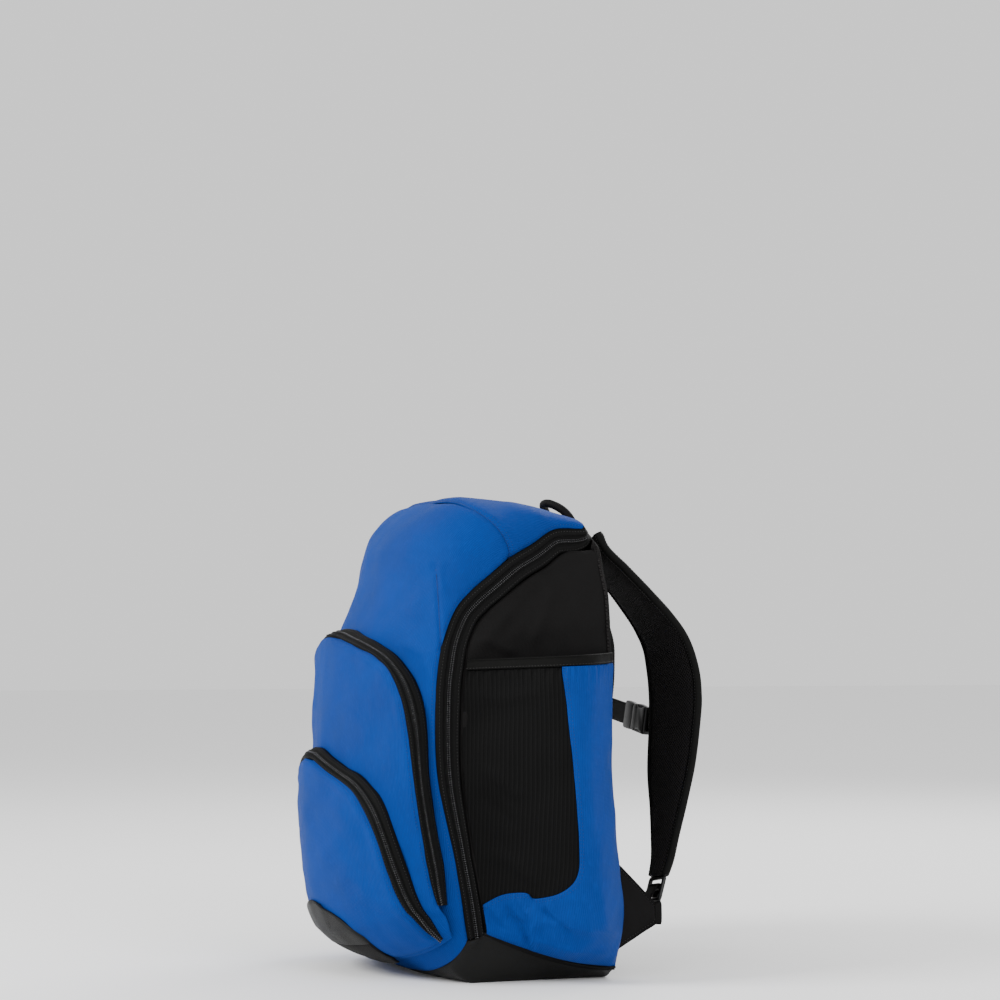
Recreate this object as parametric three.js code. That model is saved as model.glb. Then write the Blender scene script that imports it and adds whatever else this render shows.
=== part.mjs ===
// Backpack with two front pockets and an open sleeve on each side, standing on its base.
// Millimetres, +Z up, front towards -Y, shoulder straps towards +Y.
// The origin lies in the flat bottom face of the base.
import * as THREE from "three";

// Main sizes
const HEIGHT = 430; // floor to the crest of the haul handle
const WIDTH = 276; // across the two side panels
const DEPTH = 207; // back plane to the main front panel
const BACK = 95; // distance of the back plane from the origin
const CLOTH = 1.8; // wall of sewn cloth
const BASE_WALL = 3; // coated base cloth with its stiff backing
const CLEAR = 0.5; // gap between two pieces sewn together
const SEAT = 0.8; // gap under a piece that lies on another

// Zips
const MAIN_BAND = 24; // width of the main zip tape
const POCKET_BAND = 24; // width of a pocket's zip gusset
const COIL = 1.4; // height of the zip coil above its tape
const SLIDER = { length: 14, width: 9, tab: 20, sheet: 1.6 };

// Front pockets
const UPPER_PUFF = 21; // how far the upper pocket stands off the front panel
const LOWER_PUFF = 15; // how far the lower pocket stands off the upper one
const GUARD = 1.6; // thickness of the dark patch
const GUARD_SEAT = 1.2; // gap under it

// Side sleeves
const SLEEVE_BULGE = 57; // how far the filled-out sleeve stands off the side
const BINDING = { width: 9, wall: 2.6 };

// Back, straps and handle
const PAD_CROWN = 9; // how far the back panel swells at its middle
const PAD_WALL = 8; // thickness of the padded back
const STRAP = { width: 68, thickness: 11 };
const WEB = { width: 20, thickness: 1.6 };
const STERNUM = { width: 20, thickness: 1.6 };
const WING_WALL = 2.4;
const STUB = 6; // straight webbing next to a sewn end or a buckle
const HANDLE = { span: 62, rod: 8, rise: 28, leg: 26, lean: 19 };
const LOCK = { width: 30, length: 24, bar: 4, wall: 4 };
const BUCKLE = { width: 26, height: 8, socket: 30, plug: 20 };

// Sections of the body from the base to the rear edge of the top, one row each.
// edgeX is a share of the half width; edgeY, midY and backY are shares of the depth, measured
// forward from the back plane; edgeZ, midZ and backZ are shares of the height.
// square rounds or squares the section, fall is how fast it drops back at the sides,
// band is the share of the zip tape that shows.
const SECTIONS = [
  { edgeX: 0.986, edgeY: 0.649, edgeZ: 0.093, midY: 0.749, midZ: 0.007,
    backX: 1, backY: -0.01, backZ: 0.019, square: 2.4, fall: 1, band: 0.66 },
  { edgeX: 1, edgeY: 0.676, edgeZ: 0.167, midY: 0.932, midZ: 0.081,
    backX: 1, backY: -0.05, backZ: 0.128, square: 1.9, fall: 1, band: 0.66 },
  { edgeX: 1, edgeY: 0.71, edgeZ: 0.251, midY: 0.986, midZ: 0.181,
    backX: 1, backY: -0.03, backZ: 0.221, square: 1.6, fall: 1, band: 0.66 },
  { edgeX: 1, edgeY: 0.783, edgeZ: 0.412, midY: 1, midZ: 0.384,
    backX: 1, backY: 0, backZ: 0.395, square: 1.5, fall: 1, band: 0.88 },
  { edgeX: 1, edgeY: 0.795, edgeZ: 0.57, midY: 0.99, midZ: 0.57,
    backX: 1, backY: 0, backZ: 0.558, square: 1.5, fall: 1, band: 0.98 },
  { edgeX: 0.993, edgeY: 0.778, edgeZ: 0.649, midY: 0.98, midZ: 0.688,
    backX: 1, backY: 0, backZ: 0.658, square: 1.5, fall: 1, band: 0.98 },
  { edgeX: 0.986, edgeY: 0.752, edgeZ: 0.7, midY: 0.918, midZ: 0.762,
    backX: 0.985, backY: 0, backZ: 0.705, square: 1.6, fall: 1, band: 0.95 },
  { edgeX: 0.964, edgeY: 0.699, edgeZ: 0.753, midY: 0.868, midZ: 0.828,
    backX: 0.97, backY: 0, backZ: 0.744, square: 1.8, fall: 1, band: 0.95 },
  { edgeX: 0.942, edgeY: 0.628, edgeZ: 0.788, midY: 0.841, midZ: 0.886,
    backX: 0.95, backY: 0, backZ: 0.779, square: 2.1, fall: 1, band: 0.95 },
  { edgeX: 0.92, edgeY: 0.541, edgeZ: 0.82, midY: 0.763, midZ: 0.945,
    backX: 0.925, backY: 0.005, backZ: 0.807, square: 2.8, fall: 1.3, band: 0.95 },
  { edgeX: 0.884, edgeY: 0.435, edgeZ: 0.858, midY: 0.635, midZ: 0.984,
    backX: 0.9, backY: 0.01, backZ: 0.833, square: 3.4, fall: 1.8, band: 0.95 },
  { edgeX: 0.841, edgeY: 0.329, edgeZ: 0.886, midY: 0.483, midZ: 0.99,
    backX: 0.87, backY: 0.01, backZ: 0.856, square: 3.2, fall: 1.6, band: 0.95 },
  { edgeX: 0.812, edgeY: 0.217, edgeZ: 0.919, midY: 0.266, midZ: 0.975,
    backX: 0.84, backY: 0.01, backZ: 0.872, square: 3, fall: 1.2, band: 0.95 },
  { edgeX: 0.79, edgeY: 0.072, edgeZ: 0.922, midY: 0.072, midZ: 0.948,
    backX: 0.81, backY: 0.01, backZ: 0.882, square: 3, fall: 1, band: 0.95 },
];
const LAST = SECTIONS.length - 1;
// The heights at which every piece of the body is divided, as row numbers of the table above
const FRONT_LEVELS = [0, 0.5, 1, 2, 3, 4, 5, 5.7, 6.4, 7.2, 8, 9, 10];
const TOP_LEVELS = [10, 10.75, 11.5, 12.25, 13];
const LEVELS = [...FRONT_LEVELS, ...TOP_LEVELS.slice(1)];

// Outline of each pocket, from its foot to the crown of its arch.
// at is the section it lies on, as a row number of the table above; seam and face are the
// half widths of the seam and of the face's edge, as shares of the half width;
// puff is the share of the full puff there.
const UPPER_FOOT = [
  { faceAt: 0.45, face: 0.972, puff: 0.24 },
  { faceAt: 0.85, face: 0.972, puff: 0.44 },
];
const UPPER_ROWS = [
  { at: 1.15, seam: 0.975, faceAt: 1.25, face: 0.955, puff: 0.66 },
  { at: 1.95, seam: 0.975, faceAt: 2.05, face: 0.94, puff: 0.9 },
  { at: 2.6, seam: 0.975, faceAt: 2.65, face: 0.945, puff: 0.97 },
  { at: 3.15, seam: 0.975, faceAt: 3.15, face: 0.945, puff: 1 },
  { at: 3.6, seam: 0.97, faceAt: 3.52, face: 0.93, puff: 1 },
  { at: 3.93, seam: 0.95, faceAt: 3.8, face: 0.905, puff: 1 },
  { at: 4.22, seam: 0.91, faceAt: 4.08, face: 0.875, puff: 1 },
  { at: 4.5, seam: 0.85, faceAt: 4.36, face: 0.835, puff: 1 },
  { at: 4.76, seam: 0.755, faceAt: 4.62, face: 0.775, puff: 1 },
  { at: 4.95, seam: 0.645, faceAt: 4.8, face: 0.69, puff: 1 },
  { at: 5.08, seam: 0.5, faceAt: 4.92, face: 0.55, puff: 1 },
  { at: 5.2, seam: 0.3, faceAt: 5.02, face: 0.34, puff: 1 },
  { at: 5.31, seam: 0.1, faceAt: 5.12, face: 0.11, puff: 1 },
];
const LOWER_ROWS = [
  { at: 0.55, seam: 0.945, faceAt: 0.55, face: 0.93, puff: 0.2 },
  { at: 0.85, seam: 0.935, faceAt: 0.85, face: 0.9, puff: 0.55 },
  { at: 1.25, seam: 0.91, faceAt: 1.25, face: 0.865, puff: 0.9 },
  { at: 1.75, seam: 0.88, faceAt: 1.75, face: 0.83, puff: 1 },
  { at: 2.2, seam: 0.85, faceAt: 2.15, face: 0.8, puff: 1 },
  { at: 2.55, seam: 0.815, faceAt: 2.42, face: 0.775, puff: 1 },
  { at: 2.8, seam: 0.775, faceAt: 2.65, face: 0.735, puff: 1 },
  { at: 2.98, seam: 0.705, faceAt: 2.82, face: 0.68, puff: 1 },
  { at: 3.13, seam: 0.585, faceAt: 2.96, face: 0.6, puff: 1 },
  { at: 3.23, seam: 0.42, faceAt: 3.08, face: 0.47, puff: 1 },
  { at: 3.34, seam: 0.22, faceAt: 3.2, face: 0.28, puff: 1.05 },
  { at: 3.42, seam: 0.07, faceAt: 3.3, face: 0.09, puff: 1.05 },
];
// The patch low on the lower pocket: half is its half width as a share of the bag's.
const GUARD_ROWS = [
  { at: 0.42, half: 0.5 },
  { at: 0.6, half: 0.525 },
  { at: 0.85, half: 0.54 },
  { at: 1.1, half: 0.53 },
  { at: 1.3, half: 0.47 },
  { at: 1.5, half: 0.38 },
  { at: 1.64, half: 0.25 },
  { at: 1.74, half: 0.1 },
];

// The sleeve's bulge at each height, as a share of the full bulge, from its foot to its rim.
const SLEEVE_ROWS = [
  { at: 0.06, bulge: 0.02 },
  { at: 0.3, bulge: 0.46 },
  { at: 0.7, bulge: 0.76 },
  { at: 1.3, bulge: 0.9 },
  { at: 2, bulge: 0.97 },
  { at: 3, bulge: 1 },
  { at: 4, bulge: 1 },
  { at: 4.82, bulge: 0.97 },
];
const SLEEVE_SPLIT = 0.52; // where the mesh ends and the blue cloth begins, front to back
const MESH_FOOT = 1.05; // the section at which the mesh begins
const MESH_CORNER = 0.5; // how much higher its rear corner is
const SLEEVE_FULLEST = 1.45; // above 1, the fullest part lies behind the middle of the sleeve
const SLEEVE_CREST = BACK - 0.314 * DEPTH; // in front of it the cloth's thickness leans back

// The strap's centre line, from the yoke to its lower end.
// side is a share of the half width; behind is measured back from the back plane, as a share
// of the depth; up is a share of the height; wide is a share of the strap's width;
// turn is the twist in degrees.
const STRAP_ROWS = [
  { side: 0.33, behind: 0.08, up: 0.9, wide: 0.85, turn: 0 },
  { side: 0.36, behind: 0.105, up: 0.873, wide: 0.92, turn: 0 },
  { side: 0.4, behind: 0.175, up: 0.832, wide: 0.97, turn: 3 },
  { side: 0.45, behind: 0.26, up: 0.78, wide: 1, turn: 6 },
  { side: 0.5, behind: 0.335, up: 0.728, wide: 1, turn: 10 },
  { side: 0.54, behind: 0.385, up: 0.678, wide: 1, turn: 14 },
  { side: 0.57, behind: 0.408, up: 0.622, wide: 1, turn: 17 },
  { side: 0.6, behind: 0.41, up: 0.57, wide: 1, turn: 17 },
  { side: 0.63, behind: 0.397, up: 0.515, wide: 0.99, turn: 16 },
  { side: 0.66, behind: 0.37, up: 0.42, wide: 0.9, turn: 16 },
  { side: 0.7, behind: 0.345, up: 0.345, wide: 0.74, turn: 12 },
  { side: 0.735, behind: 0.32, up: 0.285, wide: 0.6, turn: 8 },
  { side: 0.765, behind: 0.298, up: 0.235, wide: 0.5, turn: 4 },
  { side: 0.785, behind: 0.272, up: 0.2, wide: 0.44, turn: 0 },
];
const STERNUM_UP = 0.52; // the sternum strap sits on the first row below this share of the height

// Colours
const COLOUR = {
  blue: 0x14509f,
  black: 0x1c1b1b,
  mesh: 0x232221,
  base: 0x2e2d2c,
  tape: 0x171616,
  plastic: 0x141414,
  web: 0x1f1e1e,
};

const half = WIDTH / 2;
const V = (x, y, z) => new THREE.Vector3(x, y, z);
const mix = (a, b, k) => a + (b - a) * k;
const clamp = (v, low, high) => Math.min(Math.max(v, low), high);
const smooth = (k) => k * k * (3 - 2 * k);
const steps = (count) => Array.from({ length: count + 1 }, (_, i) => i / count);

// The value of a column at a row number that need not be whole
function column(rows, name, at) {
  const low = clamp(Math.floor(at), 0, rows.length - 2);
  return mix(rows[low][name], rows[low + 1][name], at - low);
}

// A smooth curve through one point of each section
function sectionCurve(pointOf) {
  return new THREE.CatmullRomCurve3(SECTIONS.map(pointOf), false, "catmullrom", 0.5);
}
const forward = (share) => BACK - share * DEPTH;
const EDGE = sectionCurve((r) => V(r.edgeX * half, forward(r.edgeY), r.edgeZ * HEIGHT));
const MID = sectionCurve((r) => V(0, forward(r.midY), r.midZ * HEIGHT));
const REAR = sectionCurve((r) => V(r.backX * half, forward(r.backY), r.backZ * HEIGHT));

// The direction that points out of the body, the same for every piece that meets there
const CORE = { x: half * 0.7, front: DEPTH * 0.6, rear: DEPTH * 0.2, low: 0.14, high: 0.8 };
function outward(p) {
  const q = V(
    clamp(p.x, -CORE.x, CORE.x),
    clamp(p.y, BACK - CORE.front, BACK - CORE.rear),
    clamp(p.z, CORE.low * HEIGHT, CORE.high * HEIGHT),
  );
  return p.clone().sub(q).normalize();
}
const lifted = (p, by) => p.clone().addScaledVector(outward(p), by);

// A point of the front and top, at a section and a share of its width from -1 to 1
function shellAt(t, share) {
  const edge = EDGE.getPoint(t);
  const mid = MID.getPoint(t);
  const square = column(SECTIONS, "square", t * LAST);
  const fall = column(SECTIONS, "fall", t * LAST);
  const rise = Math.pow(Math.max(0, 1 - Math.pow(Math.abs(share), square)), 1 / square);
  return V(
    edge.x * share,
    mix(edge.y, mid.y, Math.pow(rise, fall)),
    mix(edge.z, mid.z, rise),
  );
}
// Shares of the width, closer together where the section turns
function sharesAcross(square, count) {
  return steps(count).map((k) => {
    const angle = (k - 0.5) * Math.PI;
    return Math.sign(angle) * Math.pow(Math.abs(Math.sin(angle)), 2 / square);
  });
}
const ACROSS = 17;
const shellRow = (t) =>
  sharesAcross(column(SECTIONS, "square", t * LAST), ACROSS).map((s) => shellAt(t, s));

// The rear edge of the main zip tape, and the side panel behind it
function tapeRear(t) {
  const edge = EDGE.getPoint(t);
  const ahead = EDGE.getPoint(Math.min(t + 0.01, 1));
  const behind = EDGE.getPoint(Math.max(t - 0.01, 0));
  const run = V(0, ahead.y - behind.y, ahead.z - behind.z).normalize();
  const width = MAIN_BAND * column(SECTIONS, "band", t * LAST);
  return V(mix(edge.x, REAR.getPoint(t).x, 0.2), edge.y + run.z * width, edge.z - run.y * width);
}
function sideAt(t, back) {
  const front = tapeRear(t);
  const rear = REAR.getPoint(t);
  const sag = 1 - smooth(clamp(t * LAST, 0, 1));
  const drop = mix(back, 1 - Math.pow(1 - back, 1.8), sag);
  return V(mix(front.x, rear.x, back), mix(front.y, rear.y, back), mix(front.z, rear.z, drop));
}
const mirrored = (p, side) => V(p.x * side, p.y, p.z);

// A closed wall from a grid of outer points. inner gives the point behind each one.
function wall(grid, inner, kept = () => true) {
  const rows = grid.length;
  const columns = grid[0].length;
  const flat = [];
  const put = (a, b, c) => {
    if (a.distanceTo(b) < 1e-3 || b.distanceTo(c) < 1e-3 || a.distanceTo(c) < 1e-3) return;
    flat.push(a, b, c);
  };
  const behind = grid.map((row, i) => row.map((p, j) => inner(p, i, j)));
  const has = (i, j) => i >= 0 && j >= 0 && i < rows - 1 && j < columns - 1 && kept(i, j);
  for (let i = 0; i < rows - 1; i++) {
    for (let j = 0; j < columns - 1; j++) {
      if (!has(i, j)) continue;
      const corners = [[i, j], [i + 1, j], [i + 1, j + 1], [i, j + 1]];
      const out = corners.map(([a, b]) => grid[a][b]);
      const back = corners.map(([a, b]) => behind[a][b]);
      put(out[0], out[1], out[2]);
      put(out[0], out[2], out[3]);
      put(back[0], back[2], back[1]);
      put(back[0], back[3], back[2]);
      const edges = [[0, 1, [i, j - 1]], [1, 2, [i + 1, j]], [2, 3, [i, j + 1]], [3, 0, [i - 1, j]]];
      for (const [a, b, [ni, nj]] of edges) {
        if (has(ni, nj)) continue;
        put(out[b], out[a], back[a]);
        put(out[b], back[a], back[b]);
      }
    }
  }
  return closed(flat);
}

// A geometry from loose triangles, turned so that its faces point out
function closed(flat) {
  let volume = 0;
  for (let i = 0; i < flat.length; i += 3) {
    volume += flat[i].dot(flat[i + 1].clone().cross(flat[i + 2])) / 6;
  }
  if (volume < 0) {
    for (let i = 0; i < flat.length; i += 3) {
      [flat[i + 1], flat[i + 2]] = [flat[i + 2], flat[i + 1]];
    }
  }
  const geometry = new THREE.BufferGeometry().setFromPoints(flat);
  geometry.computeVertexNormals();
  return geometry;
}

// Pulls the border of a grid in by a distance, so that neighbours keep a gap
function trimmed(grid, by) {
  const out = grid.map((row) => row.map((p) => p.clone()));
  const rows = grid.length;
  const columns = grid[0].length;
  const pull = (i, j, ni, nj) => {
    const step = grid[ni][nj].clone().sub(grid[i][j]);
    if (step.length() > by) out[i][j].add(step.setLength(by));
  };
  for (let j = 0; j < columns; j++) {
    pull(0, j, 1, j);
    pull(rows - 1, j, rows - 2, j);
  }
  for (let i = 0; i < rows; i++) {
    pull(i, 0, i, 1);
    pull(i, columns - 1, i, columns - 2);
  }
  return out;
}
const clothBehind = (thick) => (p) => lifted(p, -thick);

// A closed solid through sections with the same number of points each
function loft(sections) {
  const flat = [];
  const count = sections[0].length;
  for (let i = 0; i < sections.length - 1; i++) {
    for (let j = 0; j < count; j++) {
      const k = (j + 1) % count;
      flat.push(sections[i][j], sections[i + 1][j], sections[i + 1][k]);
      flat.push(sections[i][j], sections[i + 1][k], sections[i][k]);
    }
  }
  const first = sections[0];
  const last = sections[sections.length - 1];
  for (let j = 1; j < count - 1; j++) {
    flat.push(first[0], first[j], first[j + 1]);
    flat.push(last[0], last[j + 1], last[j]);
  }
  return closed(flat);
}

// A flat section with rounded edges, from its centre, its width and thickness directions
function slabSection(centre, across, normal, width, thickness, sides) {
  return steps(sides)
    .slice(0, sides)
    .map((k) => {
      const angle = (k + 0.5 / sides) * 2 * Math.PI;
      const c = Math.cos(angle);
      const s = Math.sin(angle);
      const u = (Math.sign(c) * Math.pow(Math.abs(c), 0.45) * width) / 2;
      const v = (Math.sign(s) * Math.pow(Math.abs(s), 0.8) * thickness) / 2;
      return centre.clone().addScaledVector(across, u).addScaledVector(normal, v);
    });
}
// A strip of webbing along points, each with the direction across it there
function webbing(points, across, width, thickness) {
  const sections = points.map((p, i) => {
    const a = points[Math.max(i - 1, 0)];
    const b = points[Math.min(i + 1, points.length - 1)];
    const run = b.clone().sub(a).normalize();
    const side = across[i].clone().normalize();
    const normal = run.clone().cross(side).normalize();
    const corner = (u, v) =>
      p.clone().addScaledVector(side, (u * width) / 2).addScaledVector(normal, (v * thickness) / 2);
    return [corner(-1, -1), corner(1, -1), corner(1, 1), corner(-1, 1)];
  });
  return loft(sections);
}

const part = new THREE.Group();
function add(name, geometry, colour, roughness = 0.85) {
  const material = new THREE.MeshStandardMaterial({ color: colour, roughness, metalness: 0 });
  const mesh = new THREE.Mesh(geometry, material);
  mesh.name = name;
  part.add(mesh);
  return mesh;
}

// Main body
function frontPanel() {
  const grid = FRONT_LEVELS.map((at) => shellRow(at / LAST));
  add("front_panel", wall(trimmed(grid, CLEAR / 2), clothBehind(CLOTH)), COLOUR.blue);
}
function topPanel() {
  const grid = TOP_LEVELS.map((at) => shellRow(at / LAST));
  add("top_panel", wall(trimmed(grid, CLEAR / 2), clothBehind(CLOTH)), COLOUR.blue);
}

const SIDE_SPLITS = [0, 0.2, 0.4, 0.6, 0.8, 0.94, 1];
function sidePanels() {
  for (const [name, side] of [["side_panel_r", 1], ["side_panel_l", -1]]) {
    const grid = LEVELS.map((at) => SIDE_SPLITS.map((b) => mirrored(sideAt(at / LAST, b), side)));
    add(name, wall(trimmed(grid, CLEAR / 2), clothBehind(CLOTH)), COLOUR.black);
  }
}

// The base: flat underneath, with an edge that turns up to the seam
const FLAT_SHARE = 0.85;
const NOSE = 0.75; // how far the flat part reaches under the front, as a share of its bulge
function baseGrid() {
  const shares = sharesAcross(SECTIONS[0].square, ACROSS);
  const rows = [shellRow(0)];
  SIDE_SPLITS.forEach((b, row) => {
    const seam = sideAt(0, b);
    const last = row === SIDE_SPLITS.length - 1;
    const nose = (1 - b) * (forward(SECTIONS[0].midY) - forward(SECTIONS[0].edgeY)) * NOSE;
    rows.push(
      shares.map((s) => {
        const up = smooth(clamp((Math.abs(s) - FLAT_SHARE) / (1 - FLAT_SHARE), 0, 1));
        const hollow = (seam.y - BACK) * b * (1 - Math.pow(Math.abs(s), 4));
        const y = seam.y + (row === 0 ? nose * (1 - Math.pow(Math.abs(s), 3)) : 0);
        return V(seam.x * s, y - (b > 0.9 ? hollow : 0), seam.z * (last ? 1 : up));
      }),
    );
  });
  return rows;
}
function basePanel() {
  add("base_panel", wall(trimmed(baseGrid(), CLEAR / 2), clothBehind(BASE_WALL)), COLOUR.base, 0.6);
}

// The top edge of the back, from one rear corner to the other
const BACK_ARCH = 0.033 * HEIGHT; // how far its middle stands above its ends
const SHARES_BACK = sharesAcross(SECTIONS[LAST].square, ACROSS);
function backTop(share) {
  const corner = REAR.getPoint(1);
  const square = SECTIONS[LAST].square;
  const rise = Math.pow(Math.max(0, 1 - Math.pow(Math.abs(share), square)), 1 / square);
  return V(corner.x * share, corner.y, corner.z + rise * BACK_ARCH);
}
function backPanel() {
  const shares = SHARES_BACK.slice(1, -1).map((s) => s / SHARES_BACK[ACROSS - 1]);
  const top = shares.map((s) => backTop(s));
  const grid = LEVELS.map((at) => {
    const k = at / LAST;
    const rear = REAR.getPoint(k);
    return shares.map((s, j) => {
      const crown = PAD_CROWN * (1 - s * s) * 4 * k * (1 - k);
      const y = mix(BACK, rear.y, Math.max(Math.pow(s, 4), Math.pow(k, 3))) + crown;
      const z = mix(rear.z, rear.z + (top[j].z - REAR.getPoint(1).z), k);
      return V(rear.x * s, y, z);
    });
  });
  add("back_panel", wall(trimmed(grid, CLEAR / 2), (p) => lifted(p, -PAD_WALL)), COLOUR.black);
}

// Across a zip tape: how far along its width, and how far the coil stands up there
const TAPE = [
  { along: 0, up: 0 },
  { along: 0.4, up: 0 },
  { along: 0.5, up: 1 },
  { along: 0.6, up: 0 },
  { along: 1, up: 0 },
];
function mainZip() {
  const leg = (side) =>
    LEVELS.map((at) => [EDGE.getPoint(at / LAST), tapeRear(at / LAST)].map((p) => mirrored(p, side)));
  const crossing = SHARES_BACK.slice(1, -1).map((s) => [
    shellAt(1, s),
    backTop(s / SHARES_BACK[ACROSS - 1]),
  ]);
  const pairs = [...leg(-1), ...crossing, ...leg(1).reverse()];
  const grid = pairs.map(([a, b]) =>
    TAPE.map(({ along, up }) => lifted(a.clone().lerp(b, along), up * COIL)),
  );
  const depth = (p, i, j) => lifted(p, -CLOTH - TAPE[j].up * COIL);
  add("main_zip", wall(trimmed(grid, CLEAR / 2), depth), COLOUR.tape, 0.7);
}

// Front pockets. Each lies on a surface below it: the body, or the pocket behind.
// Under its zip the upper pocket's face runs on down to the base seam.
const UPPER_FACE = [...UPPER_FOOT, ...UPPER_ROWS];
const PUFF_FALL = 2.2; // how late the puff falls between the middle of a pocket and its edge
const EDGE_DROP = 0.12; // how far it has fallen at the edge, as a share of the puff
// The puff and the half width of a face at a section, between the rows of its table
function faceRow(rows, at) {
  let k = 0;
  while (k < rows.length - 2 && rows[k + 1].faceAt < at) k++;
  const [low, high] = [rows[k], rows[k + 1]];
  const between = clamp((at - low.faceAt) / (high.faceAt - low.faceAt), 0, 1);
  return { puff: mix(low.puff, high.puff, between), face: mix(low.face, high.face, between) };
}
// Height of a pocket's face above the surface below it
function faceLift(rows, puff, at, share) {
  const row = faceRow(rows, at);
  const inside = clamp(Math.abs(share) / row.face, 0, 1);
  const crown = 1 - EDGE_DROP * Math.pow(inside, PUFF_FALL);
  return Math.max(puff * row.puff * crown, CLOTH + SEAT);
}
const upperFaceAt = (at, share) => {
  const base = shellAt(at / LAST, share);
  return lifted(base, faceLift(UPPER_FACE, UPPER_PUFF, at, share));
};
const lowerFaceAt = (at, share) =>
  lifted(upperFaceAt(at, share), faceLift(LOWER_ROWS, LOWER_PUFF, at, share));

const bodyAt = (at, share) => shellAt(at / LAST, share);
const UPPER = { rows: UPPER_ROWS, below: bodyAt, surface: upperFaceAt };
const LOWER = { rows: LOWER_ROWS, below: upperFaceAt, surface: lowerFaceAt };

function pocketFace(name, rows, surface) {
  const grid = rows.map((r) => {
    const shares = steps(13).map((k) => (2 * k - 1) * r.face);
    return shares.map((s) => surface(r.faceAt, s));
  });
  add(name, wall(trimmed(grid, CLEAR / 2), clothBehind(CLOTH)), COLOUR.blue);
}

// The gusset with the zip, from the seam on the surface below to the edge of the face.
// It stands on its seam edge, so its thickness lies towards the middle of the pocket there.
const BELLY = 0.1; // how far the gusset bows out, as a share of its width
const bandAt = (seam, edge, along) =>
  lifted(seam.clone().lerp(edge, along), 4 * along * (1 - along) * POCKET_BAND * BELLY);
const seamOf = (r, side, pocket) => lifted(pocket.below(r.at, r.seam * side), SEAT);
const edgeOf = (r, side, pocket) => pocket.surface(r.faceAt, r.face * side);
function pocketBand(name, pocket) {
  const ring = [
    ...pocket.rows.map((r) => ({ ...r, side: -1 })),
    ...pocket.rows.map((r) => ({ ...r, side: 1 })).reverse(),
  ];
  const seams = ring.map((r) => seamOf(r, r.side, pocket));
  const edges = ring.map((r) => edgeOf(r, r.side, pocket));
  const grid = ring.map((r, i) =>
    TAPE.map(({ along, up }) => lifted(bandAt(seams[i], edges[i], along), up * COIL)),
  );
  const inner = (p, i, j) => {
    const { along, up } = TAPE[j];
    const into = edges[i].clone().sub(seams[i]);
    const out = outward(seams[i]);
    into.addScaledVector(out, -into.dot(out)).normalize();
    const way = into.multiplyScalar(1 - along).addScaledVector(outward(p), -along).normalize();
    return lifted(p, -up * COIL).addScaledVector(way, CLOTH);
  };
  const cut = grid.map((row) => row.map((p) => p.clone()));
  cut.forEach((row, i) => {
    const step = grid[i][TAPE.length - 2].clone().sub(grid[i][TAPE.length - 1]);
    row[TAPE.length - 1].add(step.setLength(CLEAR / 2));
  });
  add(name, wall(cut, inner), COLOUR.tape, 0.7);
}

function frontGuard() {
  const grid = GUARD_ROWS.map((r) =>
    steps(8).map((k) => lifted(lowerFaceAt(r.at, (2 * k - 1) * r.half), GUARD_SEAT + GUARD)),
  );
  add("front_guard", wall(grid, clothBehind(GUARD)), COLOUR.black, 0.6);
}

// Side sleeves
function sleeveBulge(at) {
  let k = 0;
  while (k < SLEEVE_ROWS.length - 2 && SLEEVE_ROWS[k + 1].at < at) k++;
  const [a, b] = [SLEEVE_ROWS[k], SLEEVE_ROWS[k + 1]];
  return mix(a.bulge, b.bulge, clamp((at - a.at) / (b.at - a.at), 0, 1.5));
}
function sleeveAt(at, back, side, extra = 0) {
  const p = sideAt(at / LAST, back);
  const round = Math.sin(Math.PI * Math.pow(clamp(back, 0, 1), SLEEVE_FULLEST));
  const bulge = SLEEVE_BULGE * sleeveBulge(at) * Math.max(round, 0);
  return V((p.x + SEAT + CLOTH + extra + bulge) * side, p.y, p.z);
}
const SLEEVE_TOP = SLEEVE_ROWS[SLEEVE_ROWS.length - 1].at;
// Cloth thickness lies towards the side panel, square to the sleeve's run
function sleeveBehind(thick, side) {
  return (p) => {
    const toward = V(-side, p.y < SLEEVE_CREST ? 0.15 : -0.15, 0).normalize();
    return p.clone().addScaledVector(toward, thick);
  };
}
function meshFoot(back) {
  const k = clamp((back / SLEEVE_SPLIT - 0.72) / 0.28, 0, 1);
  return MESH_FOOT + MESH_CORNER * k * k;
}
function sleeves() {
  const front = 0.012;
  const rear = 0.985;
  const split = steps(7).map((k) => mix(front, SLEEVE_SPLIT, k));
  const rearColumns = steps(7).map((k) => mix(SLEEVE_SPLIT, rear, k));
  for (const [tail, side] of [["_r", 1], ["_l", -1]]) {
    const meshGrid = steps(8).map((k) =>
      split.map((b) => sleeveAt(mix(meshFoot(b), SLEEVE_TOP, k), b, side)),
    );
    add("sleeve_mesh" + tail, wall(trimmed(meshGrid, CLEAR / 2), sleeveBehind(CLOTH, side)),
      COLOUR.mesh);
    const low = 4;
    const high = 8;
    const columns = [...split, ...rearColumns.slice(1)];
    const panelGrid = steps(low + high).map((_, i) =>
      columns.map((b) => {
        const foot = meshFoot(Math.min(b, SLEEVE_SPLIT));
        const start = SLEEVE_ROWS[0].at;
        const at = i <= low ? mix(start, foot, i / low) : mix(foot, SLEEVE_TOP, (i - low) / high);
        return sleeveAt(at, b, side);
      }),
    );
    const kept = (i, j) => i < low || j >= split.length - 1;
    const grid = panelGrid.map((row) => row.map((p) => p.clone()));
    add("sleeve_panel" + tail, wall(shrunk(grid, kept, CLEAR / 2), sleeveBehind(CLOTH, side), kept),
      COLOUR.blue);
    const rim = steps(14).map((k) => {
      const b = mix(front, rear, k);
      const foot = sleeveAt(SLEEVE_TOP, b, side, 0.4);
      return [0, 1].map((up) => foot.clone().add(V(0, 0, CLEAR + up * BINDING.width)));
    });
    add("sleeve_binding" + tail, wall(rim, sleeveBehind(BINDING.wall, side)), COLOUR.black, 0.7);
  }
}
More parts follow.
